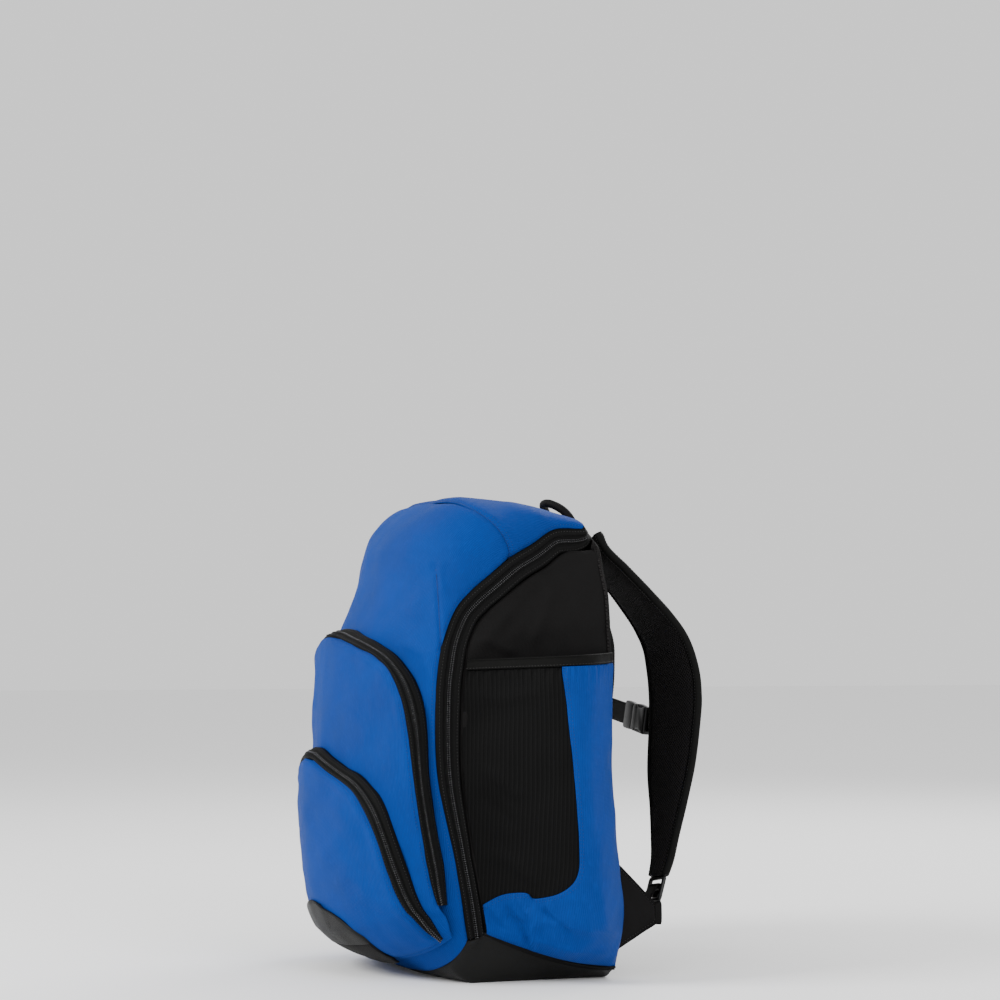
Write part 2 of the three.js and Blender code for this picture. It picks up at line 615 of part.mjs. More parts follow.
// Pulls in only the border of the kept cells of a grid
function shrunk(grid, kept, by) {
  const rows = grid.length;
  const columns = grid[0].length;
  const has = (i, j) => i >= 0 && j >= 0 && i < rows - 1 && j < columns - 1 && kept(i, j);
  return grid.map((row, i) =>
    row.map((p, j) => {
      const cells = [[i - 1, j - 1], [i - 1, j], [i, j - 1], [i, j]];
      const on = cells.filter(([a, b]) => has(a, b));
      if (on.length === 4 || on.length === 0) return p.clone();
      const centre = V(0, 0, 0);
      for (const [a, b] of on) {
        centre.add(grid[a][b]).add(grid[a + 1][b]).add(grid[a][b + 1]).add(grid[a + 1][b + 1]);
      }
      centre.divideScalar(4 * on.length);
      return p.clone().add(centre.sub(p).setLength(by * 1.3));
    }),
  );
}

// Haul handle: a round rod behind the back's top edge that arches up and leans forward
function haulHandle() {
  const crest = backTop(0);
  const back = BACK + PAD_CROWN * 0.6 + HANDLE.rod / 2;
  const points = steps(16).map((k) => {
    const s = 2 * k - 1;
    const arch = Math.pow(Math.max(0, 1 - Math.pow(Math.abs(s), 2.6)), 0.6);
    const top = crest.z + HANDLE.rise + HANDLE.rod / 2;
    return V(
      (HANDLE.span / 2) * s,
      back - HANDLE.lean * Math.pow(arch, 6),
      mix(crest.z - HANDLE.leg, top, arch),
    );
  });
  const sections = points.map((p, i) => {
    const a = points[Math.max(i - 1, 0)];
    const b = points[Math.min(i + 1, points.length - 1)];
    const run = b.clone().sub(a).normalize();
    const side = V(0, 1, 0);
    const other = run.clone().cross(side).normalize();
    return steps(8).slice(0, 8).map((k) => {
      const angle = k * 2 * Math.PI;
      return p.clone()
        .addScaledVector(side, (Math.cos(angle) * HANDLE.rod) / 2)
        .addScaledVector(other, (Math.sin(angle) * HANDLE.rod) / 2);
    });
  });
  add("haul_handle", loft(sections), COLOUR.web, 0.6);
}

// Shoulder straps and what hangs on them
function strapFrame(row, side) {
  const turn = THREE.MathUtils.degToRad(row.turn);
  return {
    centre: V(row.side * half * side, BACK + row.behind * DEPTH, row.up * HEIGHT),
    across: V(side * Math.cos(turn), Math.sin(turn), 0),
    width: STRAP.width * row.wide,
  };
}
function shoulderStrap(name, side) {
  const frames = STRAP_ROWS.map((r) => strapFrame(r, side));
  const sections = frames.map((f, i) => {
    const a = frames[Math.max(i - 1, 0)].centre;
    const b = frames[Math.min(i + 1, frames.length - 1)].centre;
    const run = b.clone().sub(a).normalize();
    const across = f.across.clone().addScaledVector(run, -f.across.dot(run)).normalize();
    const normal = run.clone().cross(across);
    return slabSection(f.centre, across, normal, f.width, STRAP.thickness, 10);
  });
  add(name, loft(sections), COLOUR.mesh, 0.8);
}

// A flat ring or bar cut from a plate, placed by its centre, its long and its wide direction
function placed(shape, depth, centre, wide, long) {
  const geometry = new THREE.ExtrudeGeometry(shape, { depth, bevelEnabled: false, curveSegments: 4 });
  geometry.translate(0, 0, -depth / 2);
  const normal = wide.clone().cross(long).normalize();
  geometry.applyMatrix4(new THREE.Matrix4().makeBasis(wide, long, normal).setPosition(centre));
  return geometry;
}
function roundedPlate(width, length, corner) {
  const shape = new THREE.Shape();
  const [x, y] = [width / 2, length / 2];
  shape.moveTo(-x + corner, -y);
  shape.lineTo(x - corner, -y);
  shape.quadraticCurveTo(x, -y, x, -y + corner);
  shape.lineTo(x, y - corner);
  shape.quadraticCurveTo(x, y, x - corner, y);
  shape.lineTo(-x + corner, y);
  shape.quadraticCurveTo(-x, y, -x, y - corner);
  shape.lineTo(-x, -y + corner);
  shape.quadraticCurveTo(-x, -y, -x + corner, -y);
  return shape;
}
function slot(width, length, at) {
  const path = new THREE.Path();
  path.moveTo(-width / 2, at - length / 2);
  path.lineTo(-width / 2, at + length / 2);
  path.lineTo(width / 2, at + length / 2);
  path.lineTo(width / 2, at - length / 2);
  path.closePath();
  return path;
}

// The wing that carries the lower webbing: a triangle from the rear edge to its tip
const WING = { low: 0.35, high: 2.1, inset: 7, reach: 0.155, drop: 0.02 };
function wingTip() {
  const foot = REAR.getPoint(((WING.low + WING.high) / 2) / LAST);
  return V(foot.x - WING.inset, foot.y + WING.reach * DEPTH, foot.z - WING.drop * HEIGHT);
}
function wing(name, side) {
  const tip = wingTip();
  const grid = steps(4).map((k) => {
    const from = REAR.getPoint(mix(WING.high, WING.low, k) / LAST).add(V(-WING.inset, SEAT, 0));
    const to = tip.clone().add(V(0, 0, mix(WEB.width / 2, -WEB.width / 2, k)));
    return steps(3).map((m) => mirrored(from.clone().lerp(to, m), side));
  });
  add(name, wall(grid, (p) => p.clone().add(V(-side * WING_WALL, 0, 0))), COLOUR.black);
}
// The ladder lock under the end of the shoulder strap: its centre and its directions
function lockFrame(side) {
  const rows = STRAP_ROWS.map((r) => strapFrame(r, 1).centre);
  const end = rows[rows.length - 1];
  const down = end.clone().sub(rows[rows.length - 2]).normalize();
  const wide = V(1, 0, 0).addScaledVector(down, -down.x).normalize();
  const out = wide.clone().cross(down).negate();
  const centre = end.clone().addScaledVector(down, LOCK.length / 2 + CLEAR);
  const at = (along, off, aside = 0) =>
    mirrored(centre.clone().addScaledVector(down, along).addScaledVector(out, off)
      .addScaledVector(wide, aside), side);
  return { at, down, wide };
}
function ladderLock(name, side) {
  const { at, down, wide } = lockFrame(side);
  const plate = roundedPlate(LOCK.width, LOCK.length, 3);
  const opening = (LOCK.length - 3 * LOCK.bar) / 2;
  for (const sign of [-1, 1]) {
    plate.holes.push(slot(LOCK.width - 2 * LOCK.bar, opening, (sign * (opening + LOCK.bar)) / 2));
  }
  const turned = [wide, down.clone().negate()].map((d) => mirrored(d, side));
  add(name, placed(plate, LOCK.wall, at(0, 0), ...turned), COLOUR.plastic, 0.45);
}
// The webbing's way round the lock's middle bar: along the lock, and off its middle plane,
// in steps of the distance between the bar's middle and the webbing's
const TURN = [
  { along: 0, off: -1 },
  { along: -0.82, off: -0.97 },
  { along: -1.22, off: 0 },
  { along: -0.82, off: 0.97 },
  { along: 0, off: 1 },
];
// The tail that hangs from the lock: along it and off it, as shares of the lock's length
const TAIL = [
  { along: 0.62, off: 0.3 },
  { along: 1, off: 0.36 },
  { along: 1.35, off: 0.32 },
  { along: 1.7, off: 0.22 },
];
function strapWebbing(name, side) {
  const { at, wide } = lockFrame(side);
  const off = Math.max(LOCK.wall, LOCK.bar) / 2 + CLEAR + WEB.thickness / 2;
  const foot = mirrored(wingTip().add(V(-WING_WALL / 2, SEAT, 0)), side);
  const below = LOCK.length / 2;
  const points = [
    foot,
    foot.clone().add(V(0, STUB, 0)),
    foot.clone().lerp(at(below + STUB, -off), 0.55),
    at(below + STUB, -off),
    at(below, -off),
    ...TURN.map((r) => at(r.along * off, r.off * off)),
    ...TAIL.map((r) => at(r.along * LOCK.length, r.off * LOCK.length)),
  ];
  const level = mirrored(wide, side);
  const standing = V(0, 0, 1);
  const ways = [standing, standing, standing.clone().lerp(level, 0.55)];
  const across = points.map((_, i) => ways[i] ?? level);
  add(name, webbing(points, across, WEB.width, WEB.thickness), COLOUR.web);
}

// The sternum strap between the shoulder straps, with its two-part buckle
const STERNUM_RISE = 12; // how much higher the left end sits
function sternumStrap() {
  const row = STRAP_ROWS.findIndex((r) => r.up < STERNUM_UP);
  const end = (side, rise) => {
    const inner = (i, gap) => {
      const f = strapFrame(STRAP_ROWS[i], side);
      return f.centre.clone().addScaledVector(f.across, -f.width / 2 - gap);
    };
    const run = inner(row - 1, 0).sub(inner(row + 1, 0)).normalize();
    return { at: inner(row, SEAT).addScaledVector(run, rise), run };
  };
  const right = end(1, 0);
  const left = end(-1, STERNUM_RISE);
  const run = left.at.clone().sub(right.at).normalize();
  const up = right.run.clone().addScaledVector(run, -right.run.dot(run)).normalize();
  const along = (d) => right.at.clone().addScaledVector(run, d);
  const socketEnd = STUB + CLEAR + BUCKLE.socket;
  const plugEnd = socketEnd + CLEAR + BUCKLE.plug;
  const block = (name, a, b, height) => {
    const shape = roundedPlate(BUCKLE.width, b - a, 4);
    add(name, placed(shape, height, along((a + b) / 2), up, run), COLOUR.plastic, 0.4);
  };
  const strip = (name, a, b, ways) => {
    const points = [along(a), along((a + b) / 2), b > 0 ? along(b) : left.at];
    add(name, webbing(points, ways, STERNUM.width, STERNUM.thickness), COLOUR.web);
  };
  strip("sternum_webbing_r", 0, STUB, [right.run, up, up]);
  block("buckle_socket", STUB + CLEAR, socketEnd, BUCKLE.height);
  block("buckle_plug", socketEnd + CLEAR, plugEnd, BUCKLE.height - 2);
  const whole = right.at.distanceTo(left.at);
  strip("sternum_webbing_l", plugEnd + CLEAR, whole, [up, up, left.run]);
}

// Zip sliders, all at the far side where the zips are closed
function slider(name, at, run, across) {
  const long = run.clone().normalize();
  let normal = long.clone().cross(across).normalize();
  if (normal.dot(outward(at)) < 0) normal = normal.negate();
  const wide = long.clone().cross(normal).normalize();
  const shape = new THREE.Shape();
  const [w, l, t] = [SLIDER.width / 2, SLIDER.length / 2, SLIDER.tab];
  shape.moveTo(-w, -l);
  shape.lineTo(w, -l);
  shape.lineTo(w * 0.7, l);
  shape.lineTo(w * 0.6, l + t);
  shape.lineTo(-w * 0.6, l + t);
  shape.lineTo(-w * 0.7, l);
  shape.closePath();
  const centre = at.clone().addScaledVector(normal, COIL + SLIDER.sheet / 2);
  add(name, placed(shape, SLIDER.sheet, centre, wide, long), COLOUR.plastic, 0.4);
}
const SLIDER_SHARE = 0.25; // how far up the rows of the body, or of a pocket, its slider sits
function sliders() {
  const around = (rows) => [0, 1].map((up) => Math.floor(rows.length * SLIDER_SHARE) + up);
  const endsOf = (pocket) =>
    around(pocket.rows).map((i) => [seamOf, edgeOf].map((f) => f(pocket.rows[i], -1, pocket)));
  const fit = (name, [low, high]) => {
    const [a, b] = [low, high].map((ends) => bandAt(...ends, 0.5));
    slider(name, a.clone().lerp(b, 0.5), b.clone().sub(a), low[0].clone().sub(low[1]));
  };
  fit("slider_upper", endsOf(UPPER));
  fit("slider_lower", endsOf(LOWER));
  const [low, high] = around(SECTIONS).map((i) => [EDGE.getPoint(i / LAST), tapeRear(i / LAST)]);
  const [a, b] = [low, high].map((ends) => mirrored(ends[0].clone().lerp(ends[1], 0.5), -1));
  const across = mirrored(low[0].clone().sub(low[1]), -1);
  slider("slider_main", a.clone().lerp(b, 0.5), b.clone().sub(a), across);
}

frontPanel();
topPanel();
sidePanels();
backPanel();
basePanel();
mainZip();
pocketFace("upper_pocket_face", UPPER_FACE, upperFaceAt);
pocketBand("upper_pocket_zip", UPPER);
pocketFace("lower_pocket_face", LOWER_ROWS, lowerFaceAt);
pocketBand("lower_pocket_zip", LOWER);
frontGuard();
sleeves();
haulHandle();
for (const [tail, side] of [["_r", 1], ["_l", -1]]) {
  shoulderStrap("shoulder_strap" + tail, side);
  wing("wing" + tail, side);
  ladderLock("ladder_lock" + tail, side);
  strapWebbing("strap_webbing" + tail, side);
}
sternumStrap();
sliders();

export default part;
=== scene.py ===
import math

import bpy
import numpy as np
from mathutils import Matrix


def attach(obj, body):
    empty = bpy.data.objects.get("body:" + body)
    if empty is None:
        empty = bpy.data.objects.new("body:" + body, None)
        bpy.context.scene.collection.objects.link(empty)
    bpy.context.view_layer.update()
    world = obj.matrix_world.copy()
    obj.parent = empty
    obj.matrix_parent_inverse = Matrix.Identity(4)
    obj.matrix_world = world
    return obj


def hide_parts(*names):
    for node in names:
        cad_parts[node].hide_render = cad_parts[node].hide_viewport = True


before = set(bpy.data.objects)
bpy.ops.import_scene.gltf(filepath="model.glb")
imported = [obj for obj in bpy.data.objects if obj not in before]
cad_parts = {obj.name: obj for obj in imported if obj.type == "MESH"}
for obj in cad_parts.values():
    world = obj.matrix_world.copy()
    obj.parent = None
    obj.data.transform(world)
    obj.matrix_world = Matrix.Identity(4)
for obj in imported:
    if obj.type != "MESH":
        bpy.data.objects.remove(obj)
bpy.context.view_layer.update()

# Sizes in millimetres, as in the part's source
HEIGHT, WIDTH, DEPTH, BACK = 430, 276, 207, 95
MAIN_BAND, POCKET_BAND, BELLY = 24, 24, 0.1
UPPER_PUFF, LOWER_PUFF, EDGE_DROP, PUFF_FALL = 21, 15, 0.12, 2.2
CLOTH, SEAT, SLEEVE_BULGE = 1.8, 0.8, 57
PAD_CROWN = 9
SLEEVE_FULLEST = 1.45
BACK_ARCH = 0.033 * HEIGHT
NOSE = 0.75
STRAP_WIDTH, WEB_WIDTH = 68, 20
HANDLE_SPAN, HANDLE_RISE, HANDLE_LEG, HANDLE_LEAN = 62, 28, 26, 19
HALF = WIDTH / 2

# Sizes that differ a little from the solids
WEB_THICK, HANDLE_ROD = 1.7, 7.8

SECTIONS = np.array([  # edgeX, edgeY, edgeZ, midY, midZ, backX, backY, backZ, square, fall, band
    [0.986, 0.649, 0.093, 0.749, 0.007, 1, -0.01, 0.019, 2.4, 1, 0.66],
    [1, 0.676, 0.167, 0.932, 0.081, 1, -0.05, 0.128, 1.9, 1, 0.66],
    [1, 0.71, 0.251, 0.986, 0.181, 1, -0.03, 0.221, 1.6, 1, 0.66],
    [1, 0.783, 0.412, 1, 0.384, 1, 0, 0.395, 1.5, 1, 0.88],
    [1, 0.795, 0.57, 0.99, 0.57, 1, 0, 0.558, 1.5, 1, 0.98],
    [0.993, 0.778, 0.649, 0.98, 0.688, 1, 0, 0.658, 1.5, 1, 0.98],
    [0.986, 0.752, 0.7, 0.918, 0.762, 0.985, 0, 0.705, 1.6, 1, 0.95],
    [0.964, 0.699, 0.753, 0.868, 0.828, 0.97, 0, 0.744, 1.8, 1, 0.95],
    [0.942, 0.628, 0.788, 0.841, 0.886, 0.95, 0, 0.779, 2.1, 1, 0.95],
    [0.92, 0.541, 0.82, 0.763, 0.945, 0.925, 0.005, 0.807, 2.8, 1.3, 0.95],
    [0.884, 0.435, 0.858, 0.635, 0.984, 0.9, 0.01, 0.833, 3.4, 1.8, 0.95],
    [0.841, 0.329, 0.886, 0.483, 0.99, 0.87, 0.01, 0.856, 3.2, 1.6, 0.95],
    [0.812, 0.217, 0.919, 0.266, 0.975, 0.84, 0.01, 0.872, 3, 1.2, 0.95],
    [0.79, 0.072, 0.922, 0.072, 0.948, 0.81, 0.01, 0.882, 3, 1, 0.95],
])
UPPER_FOOT = np.array([  # faceAt, face, puff
    [0.45, 0.972, 0.24],
    [0.85, 0.972, 0.44],
])
UPPER_ROWS = np.array([  # at, seam, faceAt, face, puff
    [1.15, 0.975, 1.25, 0.955, 0.66],
    [1.95, 0.975, 2.05, 0.94, 0.9],
    [2.6, 0.975, 2.65, 0.945, 0.97],
    [3.15, 0.975, 3.15, 0.945, 1],
    [3.6, 0.97, 3.52, 0.93, 1],
    [3.93, 0.95, 3.8, 0.905, 1],
    [4.22, 0.91, 4.08, 0.875, 1],
    [4.5, 0.85, 4.36, 0.835, 1],
    [4.76, 0.755, 4.62, 0.775, 1],
    [4.95, 0.645, 4.8, 0.69, 1],
    [5.08, 0.5, 4.92, 0.55, 1],
    [5.2, 0.3, 5.02, 0.34, 1],
    [5.31, 0.1, 5.12, 0.11, 1],
])
LOWER_ROWS = np.array([  # at, seam, faceAt, face, puff
    [0.55, 0.945, 0.55, 0.93, 0.2],
    [0.85, 0.935, 0.85, 0.9, 0.55],
    [1.25, 0.91, 1.25, 0.865, 0.9],
    [1.75, 0.88, 1.75, 0.83, 1],
    [2.2, 0.85, 2.15, 0.8, 1],
    [2.55, 0.815, 2.42, 0.775, 1],
    [2.8, 0.775, 2.65, 0.735, 1],
    [2.98, 0.705, 2.82, 0.68, 1],
    [3.13, 0.585, 2.96, 0.6, 1],
    [3.23, 0.42, 3.08, 0.47, 1],
    [3.34, 0.22, 3.2, 0.28, 1.05],
    [3.42, 0.07, 3.3, 0.09, 1.05],
])
SLEEVE_ROWS = np.array([  # at, bulge
    [0.06, 0.02],
    [0.3, 0.46],
    [0.7, 0.76],
    [1.3, 0.9],
    [2, 0.97],
    [3, 1],
    [4, 1],
    [4.82, 0.97],
])
STRAP_ROWS = np.array([  # side, behind, up, wide, turn
    [0.33, 0.08, 0.9, 0.85, 0],
    [0.36, 0.105, 0.873, 0.92, 0],
    [0.4, 0.175, 0.832, 0.97, 3],
    [0.45, 0.26, 0.78, 1, 6],
    [0.5, 0.335, 0.728, 1, 10],
    [0.54, 0.385, 0.678, 1, 14],
    [0.57, 0.408, 0.622, 1, 17],
    [0.6, 0.41, 0.57, 1, 17],
    [0.63, 0.397, 0.515, 0.99, 16],
    [0.66, 0.37, 0.42, 0.9, 16],
    [0.7, 0.345, 0.345, 0.74, 12],
    [0.735, 0.32, 0.285, 0.6, 8],
    [0.765, 0.298, 0.235, 0.5, 4],
    [0.785, 0.272, 0.2, 0.44, 0],
])
GUARD_ROWS = np.array([  # at, half
    [0.42, 0.5],
    [0.6, 0.525],
    [0.85, 0.54],
    [1.1, 0.53],
    [1.3, 0.47],
    [1.5, 0.38],
    [1.64, 0.25],
    [1.74, 0.1],
])
LAST = len(SECTIONS) - 1
TOP_FROM = 10  # section where the top panel begins
SIDES = (("_r", 1), ("_l", -1))


def smooth(k):
    k = np.clip(k, 0, 1)
    return k * k * (3 - 2 * k)


def bell(x):
    """1 at 0, falling to nothing on both sides."""
    return np.exp(-(x**2))


def unit(v):
    """Vectors brought to length 1."""
    return v / np.maximum(np.linalg.norm(v, axis=-1, keepdims=True), 1e-9)


def pair(a, b):
    """Two values or arrays brought to one shape."""
    return np.broadcast_arrays(np.asarray(a, float), np.asarray(b, float))


def uv_grid(u, v):
    """The pairs of a grid, from its distances across and along."""
    return np.stack(np.broadcast_arrays(u, v[:, None]), -1)


def travel(line):
    """Distance along a line to each of its points."""
    return np.concatenate([[0], np.cumsum(np.linalg.norm(np.diff(line, axis=0), axis=1))])


def curve(points, x):
    """A point of a smooth curve through the rows of points, at row number x."""
    points = np.asarray(points, float)
    n = len(points) - 1
    x = np.clip(np.asarray(x, float), 0, n)
    i = np.minimum(np.floor(x).astype(int), n - 1)
    w = (x - i)[..., None]
    ext = np.vstack([2 * points[:1] - points[1:2], points, 2 * points[-1:] - points[-2:-1]])
    p0, p1, p2, p3 = ext[i], ext[i + 1], ext[i + 2], ext[i + 3]
    a, b = (p2 - p0) * 0.5, (p3 - p1) * 0.5
    return (2 * p1 - 2 * p2 + a + b) * w**3 + (-3 * p1 + 3 * p2 - 2 * a - b) * w**2 + a * w + p1


EDGE = np.stack([SECTIONS[:, 0] * HALF, BACK - SECTIONS[:, 1] * DEPTH, SECTIONS[:, 2] * HEIGHT], 1)
MID = np.stack([0 * SECTIONS[:, 0], BACK - SECTIONS[:, 3] * DEPTH, SECTIONS[:, 4] * HEIGHT], 1)
REAR = np.stack([SECTIONS[:, 5] * HALF, BACK - SECTIONS[:, 6] * DEPTH, SECTIONS[:, 7] * HEIGHT], 1)


def section(col, at):
    return np.interp(at, np.arange(LAST + 1), SECTIONS[:, col])


def outward(p):
    low = np.array([-HALF * 0.7, BACK - DEPTH * 0.6, 0.14 * HEIGHT])
    high = np.array([HALF * 0.7, BACK - DEPTH * 0.2, 0.8 * HEIGHT])
    return unit(p - np.clip(p, low, high))


def lifted(p, by):
    return p + outward(p) * np.asarray(by)[..., None]


def shell(at, s):
    """A point of the front and top, at a section and a share of the width."""
    at, s = pair(at, s)
    e, m = curve(EDGE, at), curve(MID, at)
    sq, fall = section(8, at), section(9, at)
    r = np.maximum(0, 1 - np.abs(s) ** sq) ** (1 / sq)
    y = e[..., 1] + (m[..., 1] - e[..., 1]) * r**fall
    z = e[..., 2] + (m[..., 2] - e[..., 2]) * r
    return np.stack([e[..., 0] * s, y, z], -1)


def across(at, count):
    """Shares of the width at each section, closer together where the section turns."""
    angle = (np.linspace(0, 1, count) - 0.5) * np.pi
    sq = section(8, np.asarray(at, float))[..., None]
    return np.sign(angle) * np.abs(np.sin(angle)) ** (2 / sq)


def tape_rear(at):
    at = np.asarray(at, float)
    e = curve(EDGE, at)
    d = curve(EDGE, at + 0.13) - curve(EDGE, at - 0.13)
    run = unit(d[..., 1:])
    w = MAIN_BAND * section(10, at)
    x = e[..., 0] + (curve(REAR, at)[..., 0] - e[..., 0]) * 0.2
    return np.stack([x, e[..., 1] + run[..., 1] * w, e[..., 2] - run[..., 0] * w], -1)


def side_at(at, b):
    at, b = pair(at, b)
    f, r = tape_rear(at), curve(REAR, at)
    sag = 1 - smooth(at)
    drop = b + (1 - np.clip(1 - b, 0, 1) ** 1.8 - b) * sag
    return f + (r - f) * np.stack([b, b, drop], -1)


def back_top(s):
    s = np.asarray(s, float)
    corner, sq = REAR[-1], SECTIONS[-1, 8]
    rise = np.maximum(0, 1 - np.abs(s) ** sq) ** (1 / sq)
    return np.stack([corner[0] * s, corner[1] + 0 * s, corner[2] + rise * BACK_ARCH], -1)


UPPER_FACE = np.vstack([UPPER_FOOT, UPPER_ROWS[:, 2:]])  # faceAt, face, puff
LOWER_FACE = LOWER_ROWS[:, 2:]


def face_lift(rows, puff, at, s):
    share = np.interp(at, rows[:, 0], rows[:, 2])
    wide = np.interp(at, rows[:, 0], rows[:, 1])
    inside = np.clip(np.abs(s) / wide, 0, 1)
    return np.maximum(puff * share * (1 - EDGE_DROP * inside**PUFF_FALL), CLOTH + SEAT)


def upper_face(at, s):
    at, s = pair(at, s)
    return lifted(shell(at, s), face_lift(UPPER_FACE, UPPER_PUFF, at, s))


def lower_face(at, s):
    at, s = pair(at, s)
    return lifted(upper_face(at, s), face_lift(LOWER_FACE, LOWER_PUFF, at, s))


def sleeve(at, b, extra=0.0):
    at, b = pair(at, b)
    p = side_at(at, b)
    spread = np.sin(np.pi * np.clip(b, 0, 1) ** SLEEVE_FULLEST)
    bulge = SLEEVE_BULGE * np.interp(at, *SLEEVE_ROWS.T) * np.maximum(spread, 0)
    sewn = 1 - 0.9 * smooth((b - 0.93) / 0.06)
    return p + np.stack([(SEAT + CLOTH + extra) * sewn + bulge, 0 * bulge, 0 * bulge], -1)


# The photograph's camera, for placing a fold or a seam by a pixel of the photograph
AZIMUTH, DISTANCE, FOCAL, HORIZON, AXIS_X, EYE = np.radians(70), 2200.0, 2376.0, 650.0, 460.0, 288.0
CENTRE = 500  # middle of the photograph, 1000 pixels wide and high
TILT = np.arctan2(HORIZON - CENTRE, FOCAL)
TO_EYE = np.array([np.sin(AZIMUTH), -np.cos(AZIMUTH), 0.0])
RIGHT = np.array([np.cos(AZIMUTH), np.sin(AZIMUTH), 0.0])
AHEAD = -TO_EYE * np.cos(TILT) + np.array([0, 0, 1.0]) * np.sin(TILT)
UP = np.cross(RIGHT, AHEAD)
EYE_AT = (TO_EYE * DISTANCE + np.array([0, 0, EYE])
          + RIGHT * (CENTRE - AXIS_X) * DISTANCE * np.cos(TILT) / FOCAL)


def pixels(p):
    """Where a point lies in the photograph. The far side counts as the near one mirrored."""
    d = np.concatenate([np.abs(p[..., :1]), p[..., 1:]], -1) - EYE_AT
    z = d @ AHEAD
    return np.stack([CENTRE + FOCAL * (d @ RIGHT) / z, CENTRE - FOCAL * (d @ UP) / z], -1)


def pixel_line(p, line, taper):
    """Distance in the photograph from each point to a line of pixels, signed to its right, and how
    much of the line's strength holds there: 0 at its ends, 1 along its middle."""
    q = pixels(p)
    line = np.asarray(line, float)
    seg = np.linalg.norm(np.diff(line, axis=0), axis=1)
    start = travel(line)
    best = np.full(q.shape[:-1], 1e9)
    signed, along = best.copy(), np.zeros_like(best)
    for k in range(len(seg)):
        d = (line[k + 1] - line[k]) / max(seg[k], 1e-6)
        r = q - line[k]
        t = np.clip(r @ d, 0, seg[k])
        off = r - t[..., None] * d
        dist = np.linalg.norm(off, axis=-1)
        side = np.sign(d[0] * r[..., 1] - d[1] * r[..., 0])
        near = dist < best
        best = np.where(near, dist, best)
        signed = np.where(near, -side * dist, signed)
        along = np.where(near, (start[k] + t) / start[-1], along)
    hold = smooth(along / max(taper[0], 1e-3)) * smooth((1 - along) / max(taper[1], 1e-3))
    return best, signed, hold


def fold(p, line, width, height, taper=(0.25, 0.25), lean=0.0):
    """A ridge (height above 0) or valley along a line of pixels. lean raises its right side."""
    best, signed, hold = pixel_line(p, line, taper)
    k = bell(best / width)
    return hold * (height * k + lean * (signed / width) * bell(best / (1.8 * width)))


def folded(p, folds):
    """Several folds, each as a row of what fold needs."""
    return sum(fold(p, *row) for row in folds)


WAVES = 9


def ripple(p, seed, size):
    """Smooth random waves of about that size, from -1 to 1."""
    rng = np.random.RandomState(seed)
    out = np.zeros(p.shape[:-1])
    for _ in range(WAVES):
        way = rng.normal(size=3)
        way *= 2 * np.pi / (size * rng.uniform(0.7, 1.6)) / np.linalg.norm(way)
        out += np.sin(p @ way + rng.uniform(0, 2 * np.pi))
    return out / np.sqrt(WAVES) * 0.8


def normals(p):
    n = unit(np.cross(np.gradient(p, axis=1), np.gradient(p, axis=0)))
    return -n if (n * outward(p)).sum() < 0 else n


def lengths(p):
    """Distance along each row from its middle, and up each column."""
    step = np.linalg.norm(np.diff(p, axis=1), axis=-1)
    u = np.concatenate([np.zeros((p.shape[0], 1)), np.cumsum(step, 1)], 1)
    u -= u[:, -1:] / 2
    step = np.linalg.norm(np.diff(p, axis=0), axis=-1)
    v = np.concatenate([np.zeros((1, p.shape[1])), np.cumsum(step, 0)], 0)
    return u, v


def borders(p):
    """Distance to the first row, last row, first column and last column."""
    u, v = lengths(p)
    u = u - u[:, :1]
    return v, v[-1:] - v, u, u[:, -1:] - u


def seam_dip(p, depth=1.4, width=3.0, sides="ftlr"):
    """The cloth rolls in at its seams: f first row, t last row, l first column, r last column."""
    out = np.zeros(p.shape[:-1])
    for key, dist in zip("ftlr", borders(p)):
        if key in sides:
            out -= depth * bell(dist / width)
    return out


def quads(n, m):
    """Faces of a grid with n rows of m points."""
    i, j = np.meshgrid(np.arange(n - 1), np.arange(m - 1), indexing="ij")
    a = (i * m + j).ravel()
    return np.stack([a, a + 1, a + m + 1, a + m], 1)


def rings(n, m, ends=True):
    """Faces round a bar of n rings with m points each, with or without its two ends."""
    i, j = np.meshgrid(np.arange(n - 1), np.arange(m), indexing="ij")
    a, b = (i * m + j).ravel(), (i * m + (j + 1) % m).ravel()
    faces = np.stack([a, b, b + m, a + m], 1).tolist()
    if ends:
        faces += [list(range(m - 1, -1, -1)), [(n - 1) * m + k for k in range(m)]]
    return faces


SHORTEST = 0.011  # metres, the least length of a sheet's side


def new_mesh(name, points, faces, uv, mat, nodes=()):
    """A mesh from points in millimetres; uv is one pair for each point, in millimetres too."""
    mesh = bpy.data.meshes.new(name)
    mesh.from_pydata((np.asarray(points) * 0.001).tolist(), [], [list(map(int, f)) for f in faces])
    layer = mesh.uv_layers.new(name="cloth")
    loops = np.empty(len(mesh.loops), np.int32)
    mesh.loops.foreach_get("vertex_index", loops)
    layer.data.foreach_set("uv", np.asarray(uv, np.float32)[loops].ravel())
    mesh.shade_smooth()
    mesh.materials.append(mat)
    obj = bpy.data.objects.new(name, mesh)
    bpy.context.scene.collection.objects.link(obj)
    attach(obj, "root")
    if nodes:
        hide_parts(*nodes)
    return obj


SURFACES = {}


def cloth_sheet(p):
    """Works out a sheet's width and length from its grid, and keeps neither."""
    u, v = lengths(p)
    wide, long = (u[:, -1] - u[:, 0]).max() / 1000, v[-1].max() / 1000
    wide, long = max(wide, SHORTEST), max(long, SHORTEST)


